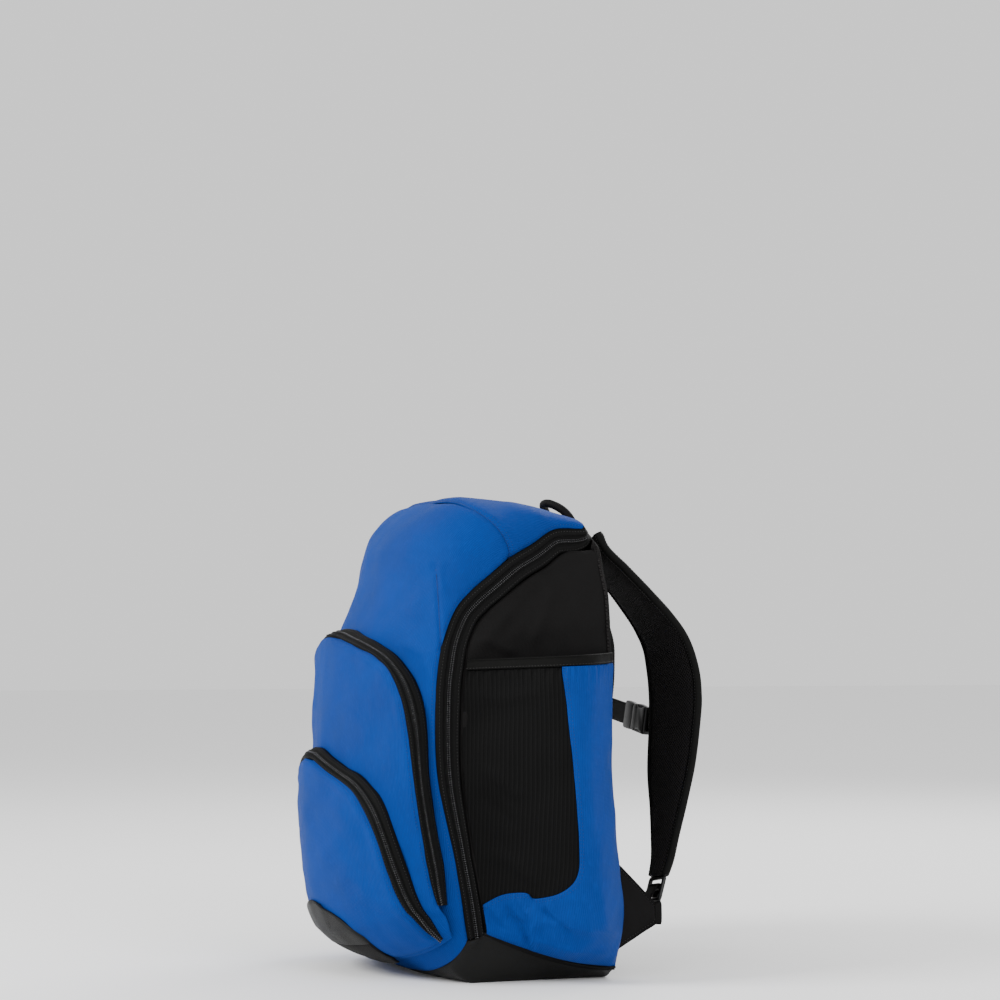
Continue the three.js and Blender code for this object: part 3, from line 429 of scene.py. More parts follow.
def panel(name, p, mat, nodes=(), d=0.0, thick=1.2, n=None, uv=None, fill=None):
    """A cloth wall over a grid of points. d moves its outer face out; fill, when given, only leaves out
    cloth_sheet.
    """
    n = normals(p) if n is None else n
    outer = p + n * np.broadcast_to(np.asarray(d, float), p.shape[:-1])[..., None]
    rows, cols = p.shape[:2]
    if uv is None:
        uv = np.stack(lengths(p), -1)
    face = quads(rows, cols)
    turned = (np.cross(np.gradient(p, axis=1), np.gradient(p, axis=0)) * n).sum() >= 0
    inner = outer - n * np.broadcast_to(np.asarray(thick, float), p.shape[:-1])[..., None]
    ring = np.concatenate([
        np.arange(cols),
        np.arange(1, rows) * cols + cols - 1,
        (rows - 1) * cols + np.arange(cols - 2, -1, -1),
        np.arange(rows - 2, 0, -1) * cols,
    ])
    after = np.roll(ring, -1)
    rim = np.stack([ring, ring + rows * cols, after + rows * cols, after], 1)
    faces = np.vstack([face, face[:, ::-1] + rows * cols, rim])
    points = np.vstack([outer.reshape(-1, 3), inner.reshape(-1, 3)])
    uv = np.vstack([uv.reshape(-1, 2)] * 2)
    obj = new_mesh(name, points, faces if turned else faces[:, ::-1], uv, mat, nodes)
    SURFACES[name] = (outer, n)
    if fill is None:
        cloth_sheet(p)


def line_near(name, side, gap):
    """The line that runs at a distance from one border of a panel, with its normals."""
    p, n = SURFACES[name]
    if side in "lr":
        p, n = p.transpose(1, 0, 2), n.transpose(1, 0, 2)
    if side in "tr":
        p, n = p[::-1], n[::-1]
    _, v = lengths(p)
    out, way = [], []
    for j in range(p.shape[1]):
        out.append([np.interp(gap, v[:, j], p[:, j, k]) for k in range(3)])
        way.append([np.interp(gap, v[:, j], n[:, j, k]) for k in range(3)])
    return np.array(out), np.array(way)


def resampled(line, step, *others):
    """Points at equal steps along a line, and other values that go with its points."""
    length = travel(line)
    at = np.arange(0, length[-1], step)
    values = [np.stack([np.interp(at, length, o[:, k]) for k in range(o.shape[1])], 1)
              for o in (line, *others)]
    return values if others else values[0]


STITCH_FACES = [[0, 2, 3], [0, 3, 4], [0, 4, 5], [0, 5, 2], [1, 3, 2], [1, 4, 3], [1, 5, 4], [1, 2, 5]]


# Stitches and zip beads: step, length, width, height
BLUE_STITCH, BLACK_STITCH, TAPE_STITCH = (3.0, 2.2, 0.6, 0.3), (2.8, 2.0, 0.5, 0.28), (2.8, 1.9, 0.5, 0.25)
SEAM_STITCH, COIL_BEAD = (1.6, 2.4, 1.0, 0.2), (1.9, 1.75, 1.9, 0.75)


def stitches(name, lines, mat, slot, pitch, length, width, rise):
    """Rows of small stitches along lines of points with their normals, as one piece."""
    points, faces = [], []
    for line, way in lines:
        if len(line) < 2:
            continue
        at, up = resampled(line, pitch, way)
        run = unit(np.gradient(at, axis=0))
        side = unit(np.cross(run, up))
        for c, r, s, u in zip(at, run, side, up):
            k = len(points)
            top = c + u * 0.05
            points += [c - r * length / 2 - u * 0.15, c + r * length / 2 - u * 0.15,
                       top + s * width / 2, top + u * rise, top - s * width / 2, top - u * 0.3]
            faces += [[k + f for f in face] for face in STITCH_FACES]
    new_mesh(name, points, faces, np.zeros((len(points), 2)), mat)


def tube(name, line, radius, mat, nodes=(), sides=10, flat=(0, 1, 0), ends=True):
    """A round bar along a line. flat is the way from its middle to its first side."""
    run = unit(np.gradient(line, axis=0))
    flat = np.asarray(flat, float)
    a = unit(flat - (flat * run).sum(1, keepdims=True) * run)
    b = np.cross(run, a)
    angle = np.arange(sides) * 2 * np.pi / sides
    c, s = np.cos(angle)[None, :, None], np.sin(angle)[None, :, None]
    p = line[:, None] + radius * (c * a[:, None] + s * b[:, None])
    uv = uv_grid(np.abs(angle - np.pi) * radius, travel(line))
    return new_mesh(name, p.reshape(-1, 3), rings(*p.shape[:2], ends), uv.reshape(-1, 2), mat, nodes)


def strip(name, line, ways, nodes):
    """Flat webbing along a line; ways is the direction across it at each point."""
    line, ways = np.asarray(line, float), unit(np.asarray(ways, float))
    up = unit(np.cross(unit(np.gradient(line, axis=0)), ways))
    k = np.linspace(-1, 1, 9)
    edge = (1 - np.abs(k) ** 6) ** 0.5 * 0.7 + 0.3 * np.sqrt(1 - k * k)
    ring = np.vstack([np.stack([k, edge], 1), np.stack([k, -edge], 1)[-2:0:-1]])
    p = (line[:, None] + ways[:, None] * ring[None, :, :1] * WEB_WIDTH / 2
         + up[:, None] * ring[None, :, 1:] * WEB_THICK / 2)
    dist = travel(line)
    uv = uv_grid(ring[:, 0] * WEB_WIDTH / 2, dist)
    obj = new_mesh(name, p.reshape(-1, 3), rings(*p.shape[:2]), uv.reshape(-1, 2), WEB, nodes)


def traced(name, line):
    """A line of pixels brought onto a panel's outer face, on both sides, with its normals."""
    p, n = (a.reshape(-1, 3) for a in SURFACES[name])
    p, n = p[p[:, 0] > 0], n[p[:, 0] > 0]
    q = pixels(p)
    spots, ways = [], []
    for c in resampled(np.column_stack([line, np.zeros(len(line))]), 1.0)[:, :2]:
        gap = ((q - c) ** 2).sum(1)
        i = np.argsort(gap)[:5]
        w = 1 / (gap[i] + 0.3)
        spots.append(w @ p[i] / w.sum())
        ways.append(w @ n[i] / w.sum())
    spots, ways = np.array(spots), np.array(ways)
    for _ in range(12):
        spots[1:-1] = (spots[:-2] + 2 * spots[1:-1] + spots[2:]) / 4
    ways = unit(ways)
    return [(spots, ways), (spots * [-1, 1, 1], ways * [-1, 1, 1])]


class Paint:
    """Builds one procedural material."""

    def __init__(self, name, base, rough=0.7):
        self.mat = bpy.data.materials.new(name)
        self.mat.use_nodes = True
        self.tree = self.mat.node_tree
        self.shader = self.tree.nodes["Principled BSDF"]
        self.shader.inputs["Base Color"].default_value = base
        self.shader.inputs["Roughness"].default_value = rough
        self.base = base
        coords = self.node("TexCoord", {})
        self.uv, self.place = coords.outputs["UV"], coords.outputs["Object"]
        parts = self.node("SeparateXYZ", {0: self.uv})
        self.u, self.v = parts.outputs[0], parts.outputs[1]

    def node(self, kind, values, **settings):
        """A new node with its settings, and its inputs set or linked."""
        node = self.tree.nodes.new("ShaderNode" + kind)
        for key, value in settings.items():
            setattr(node, key, value)
        for key, value in values.items():
            if isinstance(value, bpy.types.NodeSocket):
                self.tree.links.new(value, node.inputs[key])
            else:
                node.inputs[key].default_value = value
        return node

    def math(self, kind, a, b=0.0):
        return self.node("Math", {0: a, 1: b}, operation=kind).outputs[0]

    def add(self, *terms):
        """The sum of values, each with its share."""
        total = 0.0
        for value, share in terms:
            total = self.math("ADD", self.math("MULTIPLY", value, share), total)
        return total

    def waves(self, axis, pitch):
        """From 0 to 1 and back once in each pitch, in millimetres."""
        sine = self.math("SINE", self.math("MULTIPLY", axis, 2 * math.pi / pitch))
        return self.math("ADD", self.math("MULTIPLY", sine, 0.5), 0.5)

    def noise(self, scale, detail=3.0, source=None, rough=0.55, stretch=None):
        source = self.place if source is None else source
        if stretch:
            source = self.node("Mapping", {0: source, "Scale": stretch}).outputs[0]
        values = {"Scale": scale, "Detail": detail, "Roughness": rough, "Vector": source}
        return self.node("TexNoise", values).outputs["Fac"]

    def ramp(self, value, low, high, a=0.0, b=1.0):
        return self.node("MapRange", {0: value, 1: low, 2: high, 3: a, 4: b}).outputs[0]

    def mix(self, share, a, b):
        return self.node("Mix", {0: share, 6: a, 7: b}, data_type="RGBA").outputs[2]

    def tint(self, tone, value, share, by):
        """A tone with some of the base colour, made lighter or darker, where a value is high."""
        return self.mix(self.math("MULTIPLY", value, share), tone, shade(self.base, by))

    def rough(self, value):
        self.tree.links.new(value, self.shader.inputs["Roughness"])

    def gloss(self, specular):
        self.shader.inputs["Specular IOR Level"].default_value = specular

    def done(self, tone, height, strength, distance, specular):
        """The material with its colour, relief and gloss."""
        self.tree.links.new(tone, self.shader.inputs["Base Color"])
        bump = self.node("Bump", {"Strength": strength, "Distance": distance, "Height": height})
        self.tree.links.new(bump.outputs[0], self.shader.inputs["Normal"])
        self.gloss(specular)
        return self.mat


def shade(colour, by):
    return (*(min(1.0, c * by) for c in colour[:3]), 1)


def woven(name, base, pitch=1.7, rib=0.16, mottle=0.14, rough=0.62, bump=0.35):
    """Plain woven cloth with a fine rib along it."""
    m = Paint(name, base, rough)
    wander = m.noise(0.05, 2, m.uv)
    ribs = m.waves(m.add((m.u, 1), (wander, 2.2)), pitch)
    slub = m.noise(0.9, 4, m.uv, stretch=(1.0, 0.12, 1))
    broad = m.ramp(m.noise(16, 4), 0.3, 0.7)
    tone = m.mix(broad, shade(base, 1 - mottle), shade(base, 1 + mottle))
    tone = m.tint(tone, m.ramp(m.noise(140, 3), 0.25, 0.75), 0.3, 1 - 1.4 * mottle)
    tone = m.tint(tone, m.math("SUBTRACT", 1.0, ribs), rib, 0.45)
    tone = m.tint(tone, m.ramp(slub, 0.55, 0.75), 2.1875 * rib, 1.35)
    m.rough(m.ramp(broad, 0, 1, rough - 0.06, rough + 0.08))
    m.shader.inputs["Sheen Weight"].default_value = 0.01
    m.shader.inputs["Sheen Roughness"].default_value = 0.5
    return m.done(tone, m.add((ribs, 0.7), (m.waves(m.v, 1.1), 0.3), (slub, 0.6)), bump, 0.0006, 0.08)


def ribbed_mesh(name, base, pitch, rough=0.75, light=1.8):
    """Fine mesh cloth: ribs with small holes between them."""
    m = Paint(name, base, rough)
    ribs = m.waves(m.u, pitch)
    holes = m.math("MULTIPLY", m.waves(m.u, pitch / 2), m.waves(m.v, 1.0))
    tone = m.mix(m.math("POWER", ribs, 3.0), base, shade(base, light))
    tone = m.tint(tone, holes, 0.5, 0.35)
    tone = m.tint(tone, m.ramp(m.noise(9, 3), 0.3, 0.7), 0.35, 1.4)
    return m.done(tone, m.add((ribs, 0.8), (holes, -0.5)), 0.5, 0.0008, 0.08)


def air_mesh(name, base, cell=3.2, light=2.2):
    """Padded spacer mesh: rows of small holes, each row set off by half a step."""
    m = Paint(name, base, 0.8)
    a = m.waves(m.math("ADD", m.u, m.v), cell)
    b = m.waves(m.math("SUBTRACT", m.u, m.v), cell)
    net = m.math("MAXIMUM", m.math("POWER", a, 2.0), m.math("POWER", b, 2.0))
    tone = m.mix(net, shade(base, 0.45), shade(base, light))
    tone = m.tint(tone, m.ramp(m.noise(12, 3), 0.3, 0.7), 0.4, 1.2)
    return m.done(tone, m.add((net, 1), (m.noise(900, 2), 0.25)), 0.8, 0.0009, 0.08)


def coated(name, base, rough=0.5):
    """Coated cloth: a faint grid of threads under a smooth skin, with scuffs."""
    m = Paint(name, base, rough)
    grid = m.math("MULTIPLY", m.waves(m.u, 1.0), m.waves(m.v, 1.0))
    scuff = m.ramp(m.noise(60, 6, rough=0.7), 0.55, 0.75)
    tone = m.mix(m.ramp(m.noise(14, 4), 0.3, 0.7), shade(base, 0.82), shade(base, 1.2))
    m.rough(m.ramp(scuff, 0, 1, rough, rough + 0.18))
    height = m.add((grid, 1), (m.noise(220, 3), 0.6))
    return m.done(m.tint(tone, scuff, 0.35, 1.9), height, 0.3, 0.0005, 0.15)


def taped(name, base, pitch=0.9):
    """Narrow woven tape or webbing with diagonal ribs across it."""
    m = Paint(name, base, 0.62)
    one = m.waves(m.add((m.u, 1), (m.v, 0.8)), pitch * 1.7)
    two = m.waves(m.v, pitch)
    tone = m.mix(m.math("MULTIPLY", one, two), shade(base, 0.65), shade(base, 1.6))
    tone = m.tint(tone, m.ramp(m.noise(400, 3), 0.4, 0.8), 0.3, 1.8)
    return m.done(tone, m.add((one, 0.6), (two, 0.4)), 0.4, 0.0005, 0.08)


def moulded(name, base, rough=0.38):
    """Moulded plastic with a fine grain and slightly worn spots."""
    m = Paint(name, base, rough)
    rub = m.ramp(m.noise(260, 5, rough=0.7), 0.5, 0.8)
    tone = m.mix(m.ramp(m.noise(35, 4), 0.3, 0.7), shade(base, 0.8), shade(base, 1.25))
    m.rough(m.ramp(rub, 0, 1, rough, rough + 0.15))
    return m.done(m.tint(tone, rub, 0.3, 2.2), m.noise(1500, 2), 0.12, 0.0002, 0.35)


def threaded(name, base):
    """Sewing thread with its twist."""
    m = Paint(name, base, 0.55)
    twist = m.ramp(m.noise(1200, 2), 0.3, 0.7)
    return m.done(m.mix(twist, shade(base, 0.7), shade(base, 1.3)), twist, 0.3, 0.0002, 0.5)


def linear(r, g, b):
    """A colour given as 0 to 255, as linear values."""
    f = lambda c: c / 12.92 if c <= 0.04045 else ((c + 0.055) / 1.055) ** 2.4
    return (*(f(c / 255) for c in (r, g, b)), 1)


BLUE = woven("blue polyester", linear(0, 53, 130), rib=0.24, bump=0.5)
BLUE_SLEEVE = woven("blue sleeve polyester", linear(0, 53, 130), rib=0.28, bump=0.5)
BLACK = woven("black polyester", linear(15, 14, 14), pitch=1.2, rib=0.12, mottle=0.2, rough=0.6)
MESH = ribbed_mesh("black ribbed mesh", linear(6, 6, 6), pitch=3.1, light=2.4)
AIR = air_mesh("black air mesh", linear(17, 16, 16), light=3.6)
COATED = coated("grey coated cloth", linear(14, 14, 13))
GUARD_RIB = ribbed_mesh("black ribbed patch", linear(11, 10, 10), pitch=3.4, rough=0.6, light=2.6)
TAPE = taped("zip tape", linear(11, 11, 11))
COIL = moulded("zip coil", linear(66, 66, 68), 0.25)
WEB = taped("black webbing", linear(14, 13, 13), pitch=1.4)
BINDING = taped("black binding", linear(11, 11, 10), pitch=0.8)
PLASTIC = moulded("black moulded plastic", linear(13, 13, 13))
THREAD_BLUE = threaded("blue thread", linear(0, 24, 72))
THREAD_BLACK = threaded("black thread", linear(40, 39, 38))


# Camera, at the photograph's angle and framing
camera = bpy.data.cameras.new("camera")
camera.sensor_width, camera.lens = 36.0, 36.0 * FOCAL / (2 * CENTRE)
camera.clip_start, camera.clip_end = 0.05, 50
eye = bpy.data.objects.new("camera", camera)
bpy.context.scene.collection.objects.link(eye)
turn = Matrix((RIGHT, UP, -AHEAD)).transposed().to_4x4()
turn.translation = [c / 1000 for c in EYE_AT]
eye.matrix_world = turn
bpy.context.scene.camera = eye


# Floor and light
def plane(name, size, mat):
    s = size / 2
    mesh = bpy.data.meshes.new(name)
    mesh.from_pydata([(-s, -s, 0), (s, -s, 0), (s, s, 0), (-s, s, 0)], [], [(0, 1, 2, 3)])
    mesh.materials.append(mat)
    obj = bpy.data.objects.new(name, mesh)
    bpy.context.scene.collection.objects.link(obj)


floor_paint = Paint("floor", (0.93, 0.93, 0.93, 1), 0.9)
floor_paint.gloss(0.1)
plane("floor", 30, floor_paint.mat)

world = bpy.data.worlds.new("studio")
world.use_nodes = True
world.node_tree.nodes["Background"].inputs[0].default_value = (1, 1, 1, 1)
world.node_tree.nodes["Background"].inputs[1].default_value = 1.05
bpy.context.scene.world = world


def lamp(name, at, to, size, power):
    light = bpy.data.lights.new(name, "AREA")
    light.shape, light.size, light.energy = "SQUARE", size, power
    obj = bpy.data.objects.new(name, light)
    bpy.context.scene.collection.objects.link(obj)
    z = unit(np.array(at, float) - np.array(to, float))
    x = unit(np.cross([0, 0, 1.0], z))
    m = Matrix((x, np.cross(z, x), z)).transposed().to_4x4()
    m.translation = at
    obj.matrix_world = m


lamp("key", (0.2, -2.5, 1.9), (0, 0, 0.22), 1.2, 90)
lamp("side", (2.7, 0.6, 1.6), (0, 0, 0.2), 1.2, 34)
lamp("back", (-1.2, 1.6, 1.8), (0, 0, 0.3), 1.2, 30)


# Front panel and top
COUNT = 121
rows = np.linspace(0, TOP_FROM, 190)[:, None]
p = shell(rows, across(rows[:, 0], 161))
DART = [(436, 570), (437.6, 592), (439.3, 620), (441, 650)]
FRONT_FOLDS = [  # line of pixels, width, height, taper, lean
    (DART, 2.4, -2.0, (0.08, 0.0)),
    (DART, 8, 1.5, (0.3, 0.0), 0.8),
    ([(431, 560), (436, 574)], 3.0, -1.6, (0.5, 0.4)),
    ([(442, 556), (438, 576), (446, 600)], 5.0, 1.5),
    ([(430, 575), (420, 600), (418, 625)], 8.0, 1.0),
    ([(400, 640), (425, 655), (437, 690)], 6.0, 1.6),
    ([(365, 560), (395, 545), (420, 520)], 12.0, 1.4),
]
TOP_FOLDS = [
    ([(446, 500), (480, 507), (505, 525)], 7.0, 0.8),
    ([(500, 505), (530, 512), (548, 522)], 6.0, 1.0),
]
SIDE_FOLDS = [
    ([(475, 655), (500, 620), (530, 600)], 8, 1.6),
    ([(500, 640), (520, 610), (548, 575)], 7, -1.4),
    ([(530, 650), (545, 610), (556, 580)], 6, 1.3),
    ([(470, 640), (485, 640), (520, 655)], 6, 1.2),
]
d = seam_dip(p, 1.6, 3.2, "t") + seam_dip(p, 1.2, 2.5, "lr") + folded(p, FRONT_FOLDS)
d += ripple(p, 3, 90) * 1.1 + ripple(p, 4, 34) * 0.35
panel("front_cloth", p, BLUE, ["front_panel"], d, 1.4)

rows = np.linspace(TOP_FROM, LAST, 64)[:, None]
p = shell(rows, across(rows[:, 0], COUNT))
d = seam_dip(p, 1.6, 3.2, "f") + seam_dip(p, 1.2, 2.5, "lrt")
d += ripple(p, 5, 80) * 1.0 + ripple(p, 6, 30) * 0.3
d += folded(p, TOP_FOLDS)
panel("top_cloth", p, BLUE, ["top_panel"], d, 1.4)

# Side panels
for tail, side in SIDES:
    rows = np.linspace(0, LAST, 120)[:, None]
    p = side_at(rows, np.linspace(0, 1, 60)[None]) * [side, 1, 1]
    d = seam_dip(p, 1.6, 2.6, "tlr")
    d += ripple(p, 11 + side, 70) * 1.2 + ripple(p, 15 + side, 28) * 0.4
    d += folded(p, SIDE_FOLDS)
    panel("side_cloth" + tail, p, BLACK, ["side_panel" + tail], d, 1.4)

# Base
shares = across(np.array([0.0]), COUNT)[0]
b = np.concatenate([[-0.06], np.linspace(0, 1, 70)])[:, None]
seam = side_at(0.0, np.clip(b, 0, 1))
front_pull = smooth((0.22 - b) / 0.22) * (1 - np.abs(shares) ** 3)
y = seam[..., 1] + (MID[0, 1] - EDGE[0, 1]) * NOSE * front_pull
hollow = (seam[..., 1] - BACK) * b * (1 - shares**4) * (b > 0.9)
up = smooth((np.abs(shares) - 0.85) / 0.15)
z = seam[..., 2] * np.where(b > 0.985, np.clip((b - 0.985) / 0.015, 0, 1) * (1 - up) + up, up)
p = np.stack(np.broadcast_arrays(seam[..., 0] * shares, y - hollow, z), -1)
p[0] = shell(0.0, shares)
grid = [p[0]]
for k in np.linspace(0, 1, 9)[1:-1]:
    grid.append(p[0] * (1 - k) + p[1] * k - np.array([0, 1, 1]) * (np.sin(np.pi * k) * 1.5)[..., None])
p = np.concatenate([np.array(grid), p[1:]], 0)
p[..., 2] = np.maximum(p[..., 2], 0.0)
way = normals(p)
flat = smooth((p[..., 2] - 1) / 8)
d = flat * (ripple(p, 21, 60) * 0.8 + ripple(p, 22, 22) * 0.3)
d += seam_dip(p, 1.6, 3.0, "flr")
panel("base_cloth", p, COATED, ["base_panel"], np.minimum(d, 2.0), 1.6, way)


# Back panel, padded, with raised channels
rows = np.linspace(0, LAST, 130)[:, None]
s = np.linspace(-1, 1, 101)[None]
k = rows / LAST
rear = curve(REAR, rows[:, 0])[:, None]
crown = PAD_CROWN * (1 - s**2) * 4 * k * (1 - k)
y = BACK + (rear[..., 1] - BACK) * np.maximum(s**4, k**3) + crown
z = rear[..., 2] + (back_top(s)[..., 2] - REAR[-1, 2]) * k
p = np.stack(np.broadcast_arrays(rear[..., 0] * s, y, z), -1)
way = np.broadcast_to(np.array([0, 1.0, 0]), p.shape)
mid = np.abs(p[..., 0])
groove = bell(mid / 7) + bell((p[..., 2] - 205) / 6)
inside = smooth((mid.max() - mid) / 24) * smooth(p[..., 2] / 30) * smooth((394 - p[..., 2]) / 30)
d = -3.4 * np.minimum(groove, 1) * inside + seam_dip(p, 3.0, 6.0)
d += ripple(p, 31, 45) * 0.4 * inside
edge = np.minimum.reduce(borders(p))
thick = 1.6 + 5.4 * smooth(edge / 14)
panel("back_pad", p, AIR, ["back_panel"], d, thick, way, None, 0.8)


def near(p, line):
    """Distance from each point to the nearest point of a line."""
    flat = p.reshape(-1, 3)
    out = np.empty(len(flat))
    for i in range(0, len(flat), 2000):
        gaps = np.linalg.norm(flat[i:i + 2000, None] - line[None], axis=2)
        out[i:i + 2000] = gaps.min(1)
    return out.reshape(p.shape[:-1])


def laid(name, line):
    """A line moved onto a panel's outer face, and the face's normals along it."""
    p, n = (a.reshape(-1, 3) for a in SURFACES[name])
    spots, ways = [], []
    for c in line:
        i = np.argmin(((p - c) ** 2).sum(1))
        spots.append(c - n[i] * ((c - p[i]) @ n[i]))
        ways.append(n[i])
    return np.array(spots), np.array(ways)


# Zips: a tape across a band, and two rows of beads for the coil
def zip_profile(a, width):
    """How far the tape stands out at a share of its width."""
    t = a * width
    bump = lambda at, w, h: h * bell((t - at * width) / w)
    low = bump(0, 1.5, -1.3) + bump(1, 1.5, -1.5)
    folds = bump(0.2, 3.4, 0.6) + bump(0.395, 0.8, 1.0) + bump(0.575, 0.8, 1.0)
    grooves = bump(0.335, 0.7, -1.1) + bump(0.485, 1.3, -0.5) + bump(0.65, 0.8, -0.8)
    return low + folds + grooves + bump(0.78, 2.2, 0.3) + bump(0.92, 0.8, 0.7)


def zip_pieces(name, first, second, node, bulge=0.0):
    """A tape between two lines of points, and its coil."""
    length = travel((first + second) / 2)
    at = np.linspace(0, length[-1], int(length[-1] / 2.4))
    first, second = (np.stack([np.interp(at, length, q[:, i]) for i in range(3)], 1)
                     for q in (first, second))
    a = np.linspace(0, 1, 37)
    p = first[:, None] * (1 - a[None, :, None]) + second[:, None] * a[None, :, None]
    p = lifted(p, (4 * a * (1 - a) * bulge)[None] + np.zeros(p.shape[:2]))
    n = normals(p)
    width = np.linalg.norm(second - first, axis=1)[:, None]
    d = zip_profile(a[None], width) + ripple(p, 41, 40) * 0.25
    uv = uv_grid((a - 0.5) * width, at)
    panel(name + "_tape", p, TAPE, [node], d, 1.2, n, uv)
    outer, _ = SURFACES[name + "_tape"]
    c = len(a) // 2
    side = unit(outer[:, c + 1] - outer[:, c - 1])
    base = outer[:, c] + n[:, c] * 0.35
    lines = [(base + side * 0.95, n[:, c]), (base - side * 0.95, n[:, c])]
    stitches(name + "_coil", lines, COIL, "zip", *COIL_BEAD)
    for j, tag in ((5, "inner"), (31, "outer")):
        line = (outer[:, j], n[:, j])
        stitches(name + "_" + tag + "_seam", [line], THREAD_BLACK, "zip", *TAPE_STITCH)


leg = np.linspace(0, LAST, 260)
s = np.linspace(1, -1, 121)[1:-1]
first = np.vstack([curve(EDGE, leg), shell(LAST, s)])
second = np.vstack([tape_rear(leg), back_top(s)])
first = np.vstack([first, (curve(EDGE, leg) * [-1, 1, 1])[::-1]])
second = np.vstack([second, (tape_rear(leg) * [-1, 1, 1])[::-1]])
for k in range(40):
    second[240:-240] = (second[239:-241] + second[240:-240] * 2 + second[241:-239]) / 4
zip_pieces("main_zip", first, second, "main_zip")


# Front pockets
def pocket(tail, rows, face_rows, below, surface, node, seed, folds):
    """A pocket's blue face, its band with the zip, and its stitching."""
    count = len(rows)
    ring = np.vstack([rows[:, :4] * [1, -1, 1, -1], (rows[:, :4])[::-1]])
    t = curve(ring, np.linspace(0, 2 * count - 1, 900))
    seams = lifted(below(t[:, 0], t[:, 1]), np.full(len(t), SEAT))
    edges = surface(t[:, 2], t[:, 3])
    zip_pieces(tail + "_pocket_zip", seams, edges, node + "_zip", POCKET_BAND * BELLY)
    table = face_rows[:, :2]
    at = curve(table, np.linspace(0, len(table) - 1, 150))
    at[:, 1] = np.maximum(at[:, 1], 0.02)
    s = np.sin(np.linspace(-0.5, 0.5, 81) * np.pi * 0.94) / np.sin(0.47 * np.pi)
    p = surface(at[:, :1], at[:, 1:] * s[None])
    gap = near(p, edges)
    d = -1.7 * bell(gap / 2.4) + 0.7 * bell((gap - 6) / 4.5)
    d += ripple(p, seed, 70) * 0.9 + ripple(p, seed + 1, 26) * 0.3
    foot = smooth(borders(p)[0] / 10)
    d += folded(p, folds) * smooth(gap / 8)
    panel(tail + "_pocket_cloth", p, BLUE, [node + "_face"], d * foot, 1.3)
    into = edges - seams
    out = outward(seams)
    return edges, unit(into - (into * out).sum(1, keepdims=True) * out)


UPPER_FOLDS = [
    ([(330, 700), (352, 715), (372, 745)], 9, 1.0),
    ([(345, 650), (375, 668), (398, 700)], 8, 0.9),
]
LOWER_FOLDS = [
    ([(312, 800), (340, 815), (362, 850)], 9, 1.0),
    ([(330, 870), (360, 885), (395, 915)], 8, 1.1),
]
upper_rim = pocket("upper", UPPER_ROWS, UPPER_FACE, shell, upper_face, "upper_pocket", 51, UPPER_FOLDS)
lower_rim = pocket("lower", LOWER_ROWS, LOWER_FACE, upper_face, lower_face, "lower_pocket", 55, LOWER_FOLDS)
rim_lines = []
for name, (edge, into) in (("upper_pocket_cloth", upper_rim), ("lower_pocket_cloth", lower_rim)):
    rim_lines.append(laid(name, (edge + into * 3.4)[6:-6:3]))
stitches("pocket_stitches", rim_lines, THREAD_BLUE, "blue_cloth", *BLUE_STITCH)

# Guard at the foot of the lower pocket: smooth above, ribbed below
SPLIT_AT = 0.98


def guard_grid(low, high, count):
    at = np.linspace(low, high, count)
    half = np.interp(at, *GUARD_ROWS.T)
    half = np.convolve(np.pad(half, 3, mode="edge"), np.ones(7) / 7, "valid")
    s = np.linspace(-1, 1, 71)
    k = half[:, None] * s[None]
    a = at[:, None] - 0.06 * (np.abs(s[None]) ** 2) * (at[:, None] - 0.42) / 1.3
    return lifted(lower_face(a, k), np.full(k.shape, 2.6))


p = guard_grid(SPLIT_AT, 1.74, 46)
d = seam_dip(p, 0.9, 1.8, "tlr") + ripple(p, 61, 30) * 0.3
panel("guard_top", p, COATED, (), d, 1.4)
p = guard_grid(0.42, SPLIT_AT, 40)
d = seam_dip(p, 0.9, 1.8, "tflr") + ripple(p, 62, 30) * 0.3
panel("guard_foot", p, GUARD_RIB, ["front_guard"], d, 1.4)


# Side sleeves: a blue panel round a mesh window, under a binding
BORDER = np.array([  # at, share of the depth
    [0.849, 0.008], [1.186, 0.134], [1.313, 0.232], [1.3, 0.267], [1.2, 0.296], [1.314, 0.374],
    [1.466, 0.439], [1.72, 0.511], [1.942, 0.55], [2.133, 0.566], [2.608, 0.581], [3.187, 0.575],
    [3.798, 0.54], [4.552, 0.51], [4.82, 0.505],
])
FRONT, REAR_END, FOOT, RIM = 0.012, 0.999, 0.06, 4.82
CORNER_ROW = 6.4
SLEEVE_FOLDS = [  # line of pixels, width, height
    ([(506, 902), (510, 917), (521, 928), (527, 940), (528, 958)], 4.4, -4.2),
    ([(534, 920), (532, 938), (532, 958)], 3.2, 3.0),
    ([(538, 906), (555, 921), (576, 939)], 3.2, -2.4),
    ([(526, 908), (535, 918), (538, 930)], 5.5, 1.8),
    ([(560, 912), (585, 925), (600, 940)], 8.0, 1.8),
    ([(596, 880), (604, 905), (606, 935)], 5.0, 1.6),
    ([(575, 700), (580, 760), (580, 820)], 7.0, 1.2),
    ([(600, 690), (598, 760), (602, 850)], 6.0, -1.4),
    ([(478, 905), (490, 918), (505, 935)], 4.0, -2.2),
    ([(518, 896), (523, 905), (527, 916)], 2.4, 1.4),
    ([(547, 898), (552, 915), (562, 930)], 3.2, 1.4),
    ([(548, 955), (575, 950), (603, 938)], 6.0, 1.3),
]
MESH_FOLDS = [
    ([(480, 764), (500, 780), (528, 802)], 6.0, 1.6),
    ([(474, 790), (495, 808), (520, 830)], 7.0, -1.4),
    ([(470, 690), (500, 700), (550, 690)], 7.0, 1.2),
    ([(480, 850), (510, 860), (545, 890)], 7.0, 1.4),
]


def gathers(at, share):
    """Small gathers that hang below the binding."""
    fade = bell((RIM - at) / 0.4) * smooth((RIM - at) / 0.05)
    return 0.8 * np.sin(share * DEPTH * 2 * np.pi / 9 + 2.5 * np.sin(share * 23)) * fade


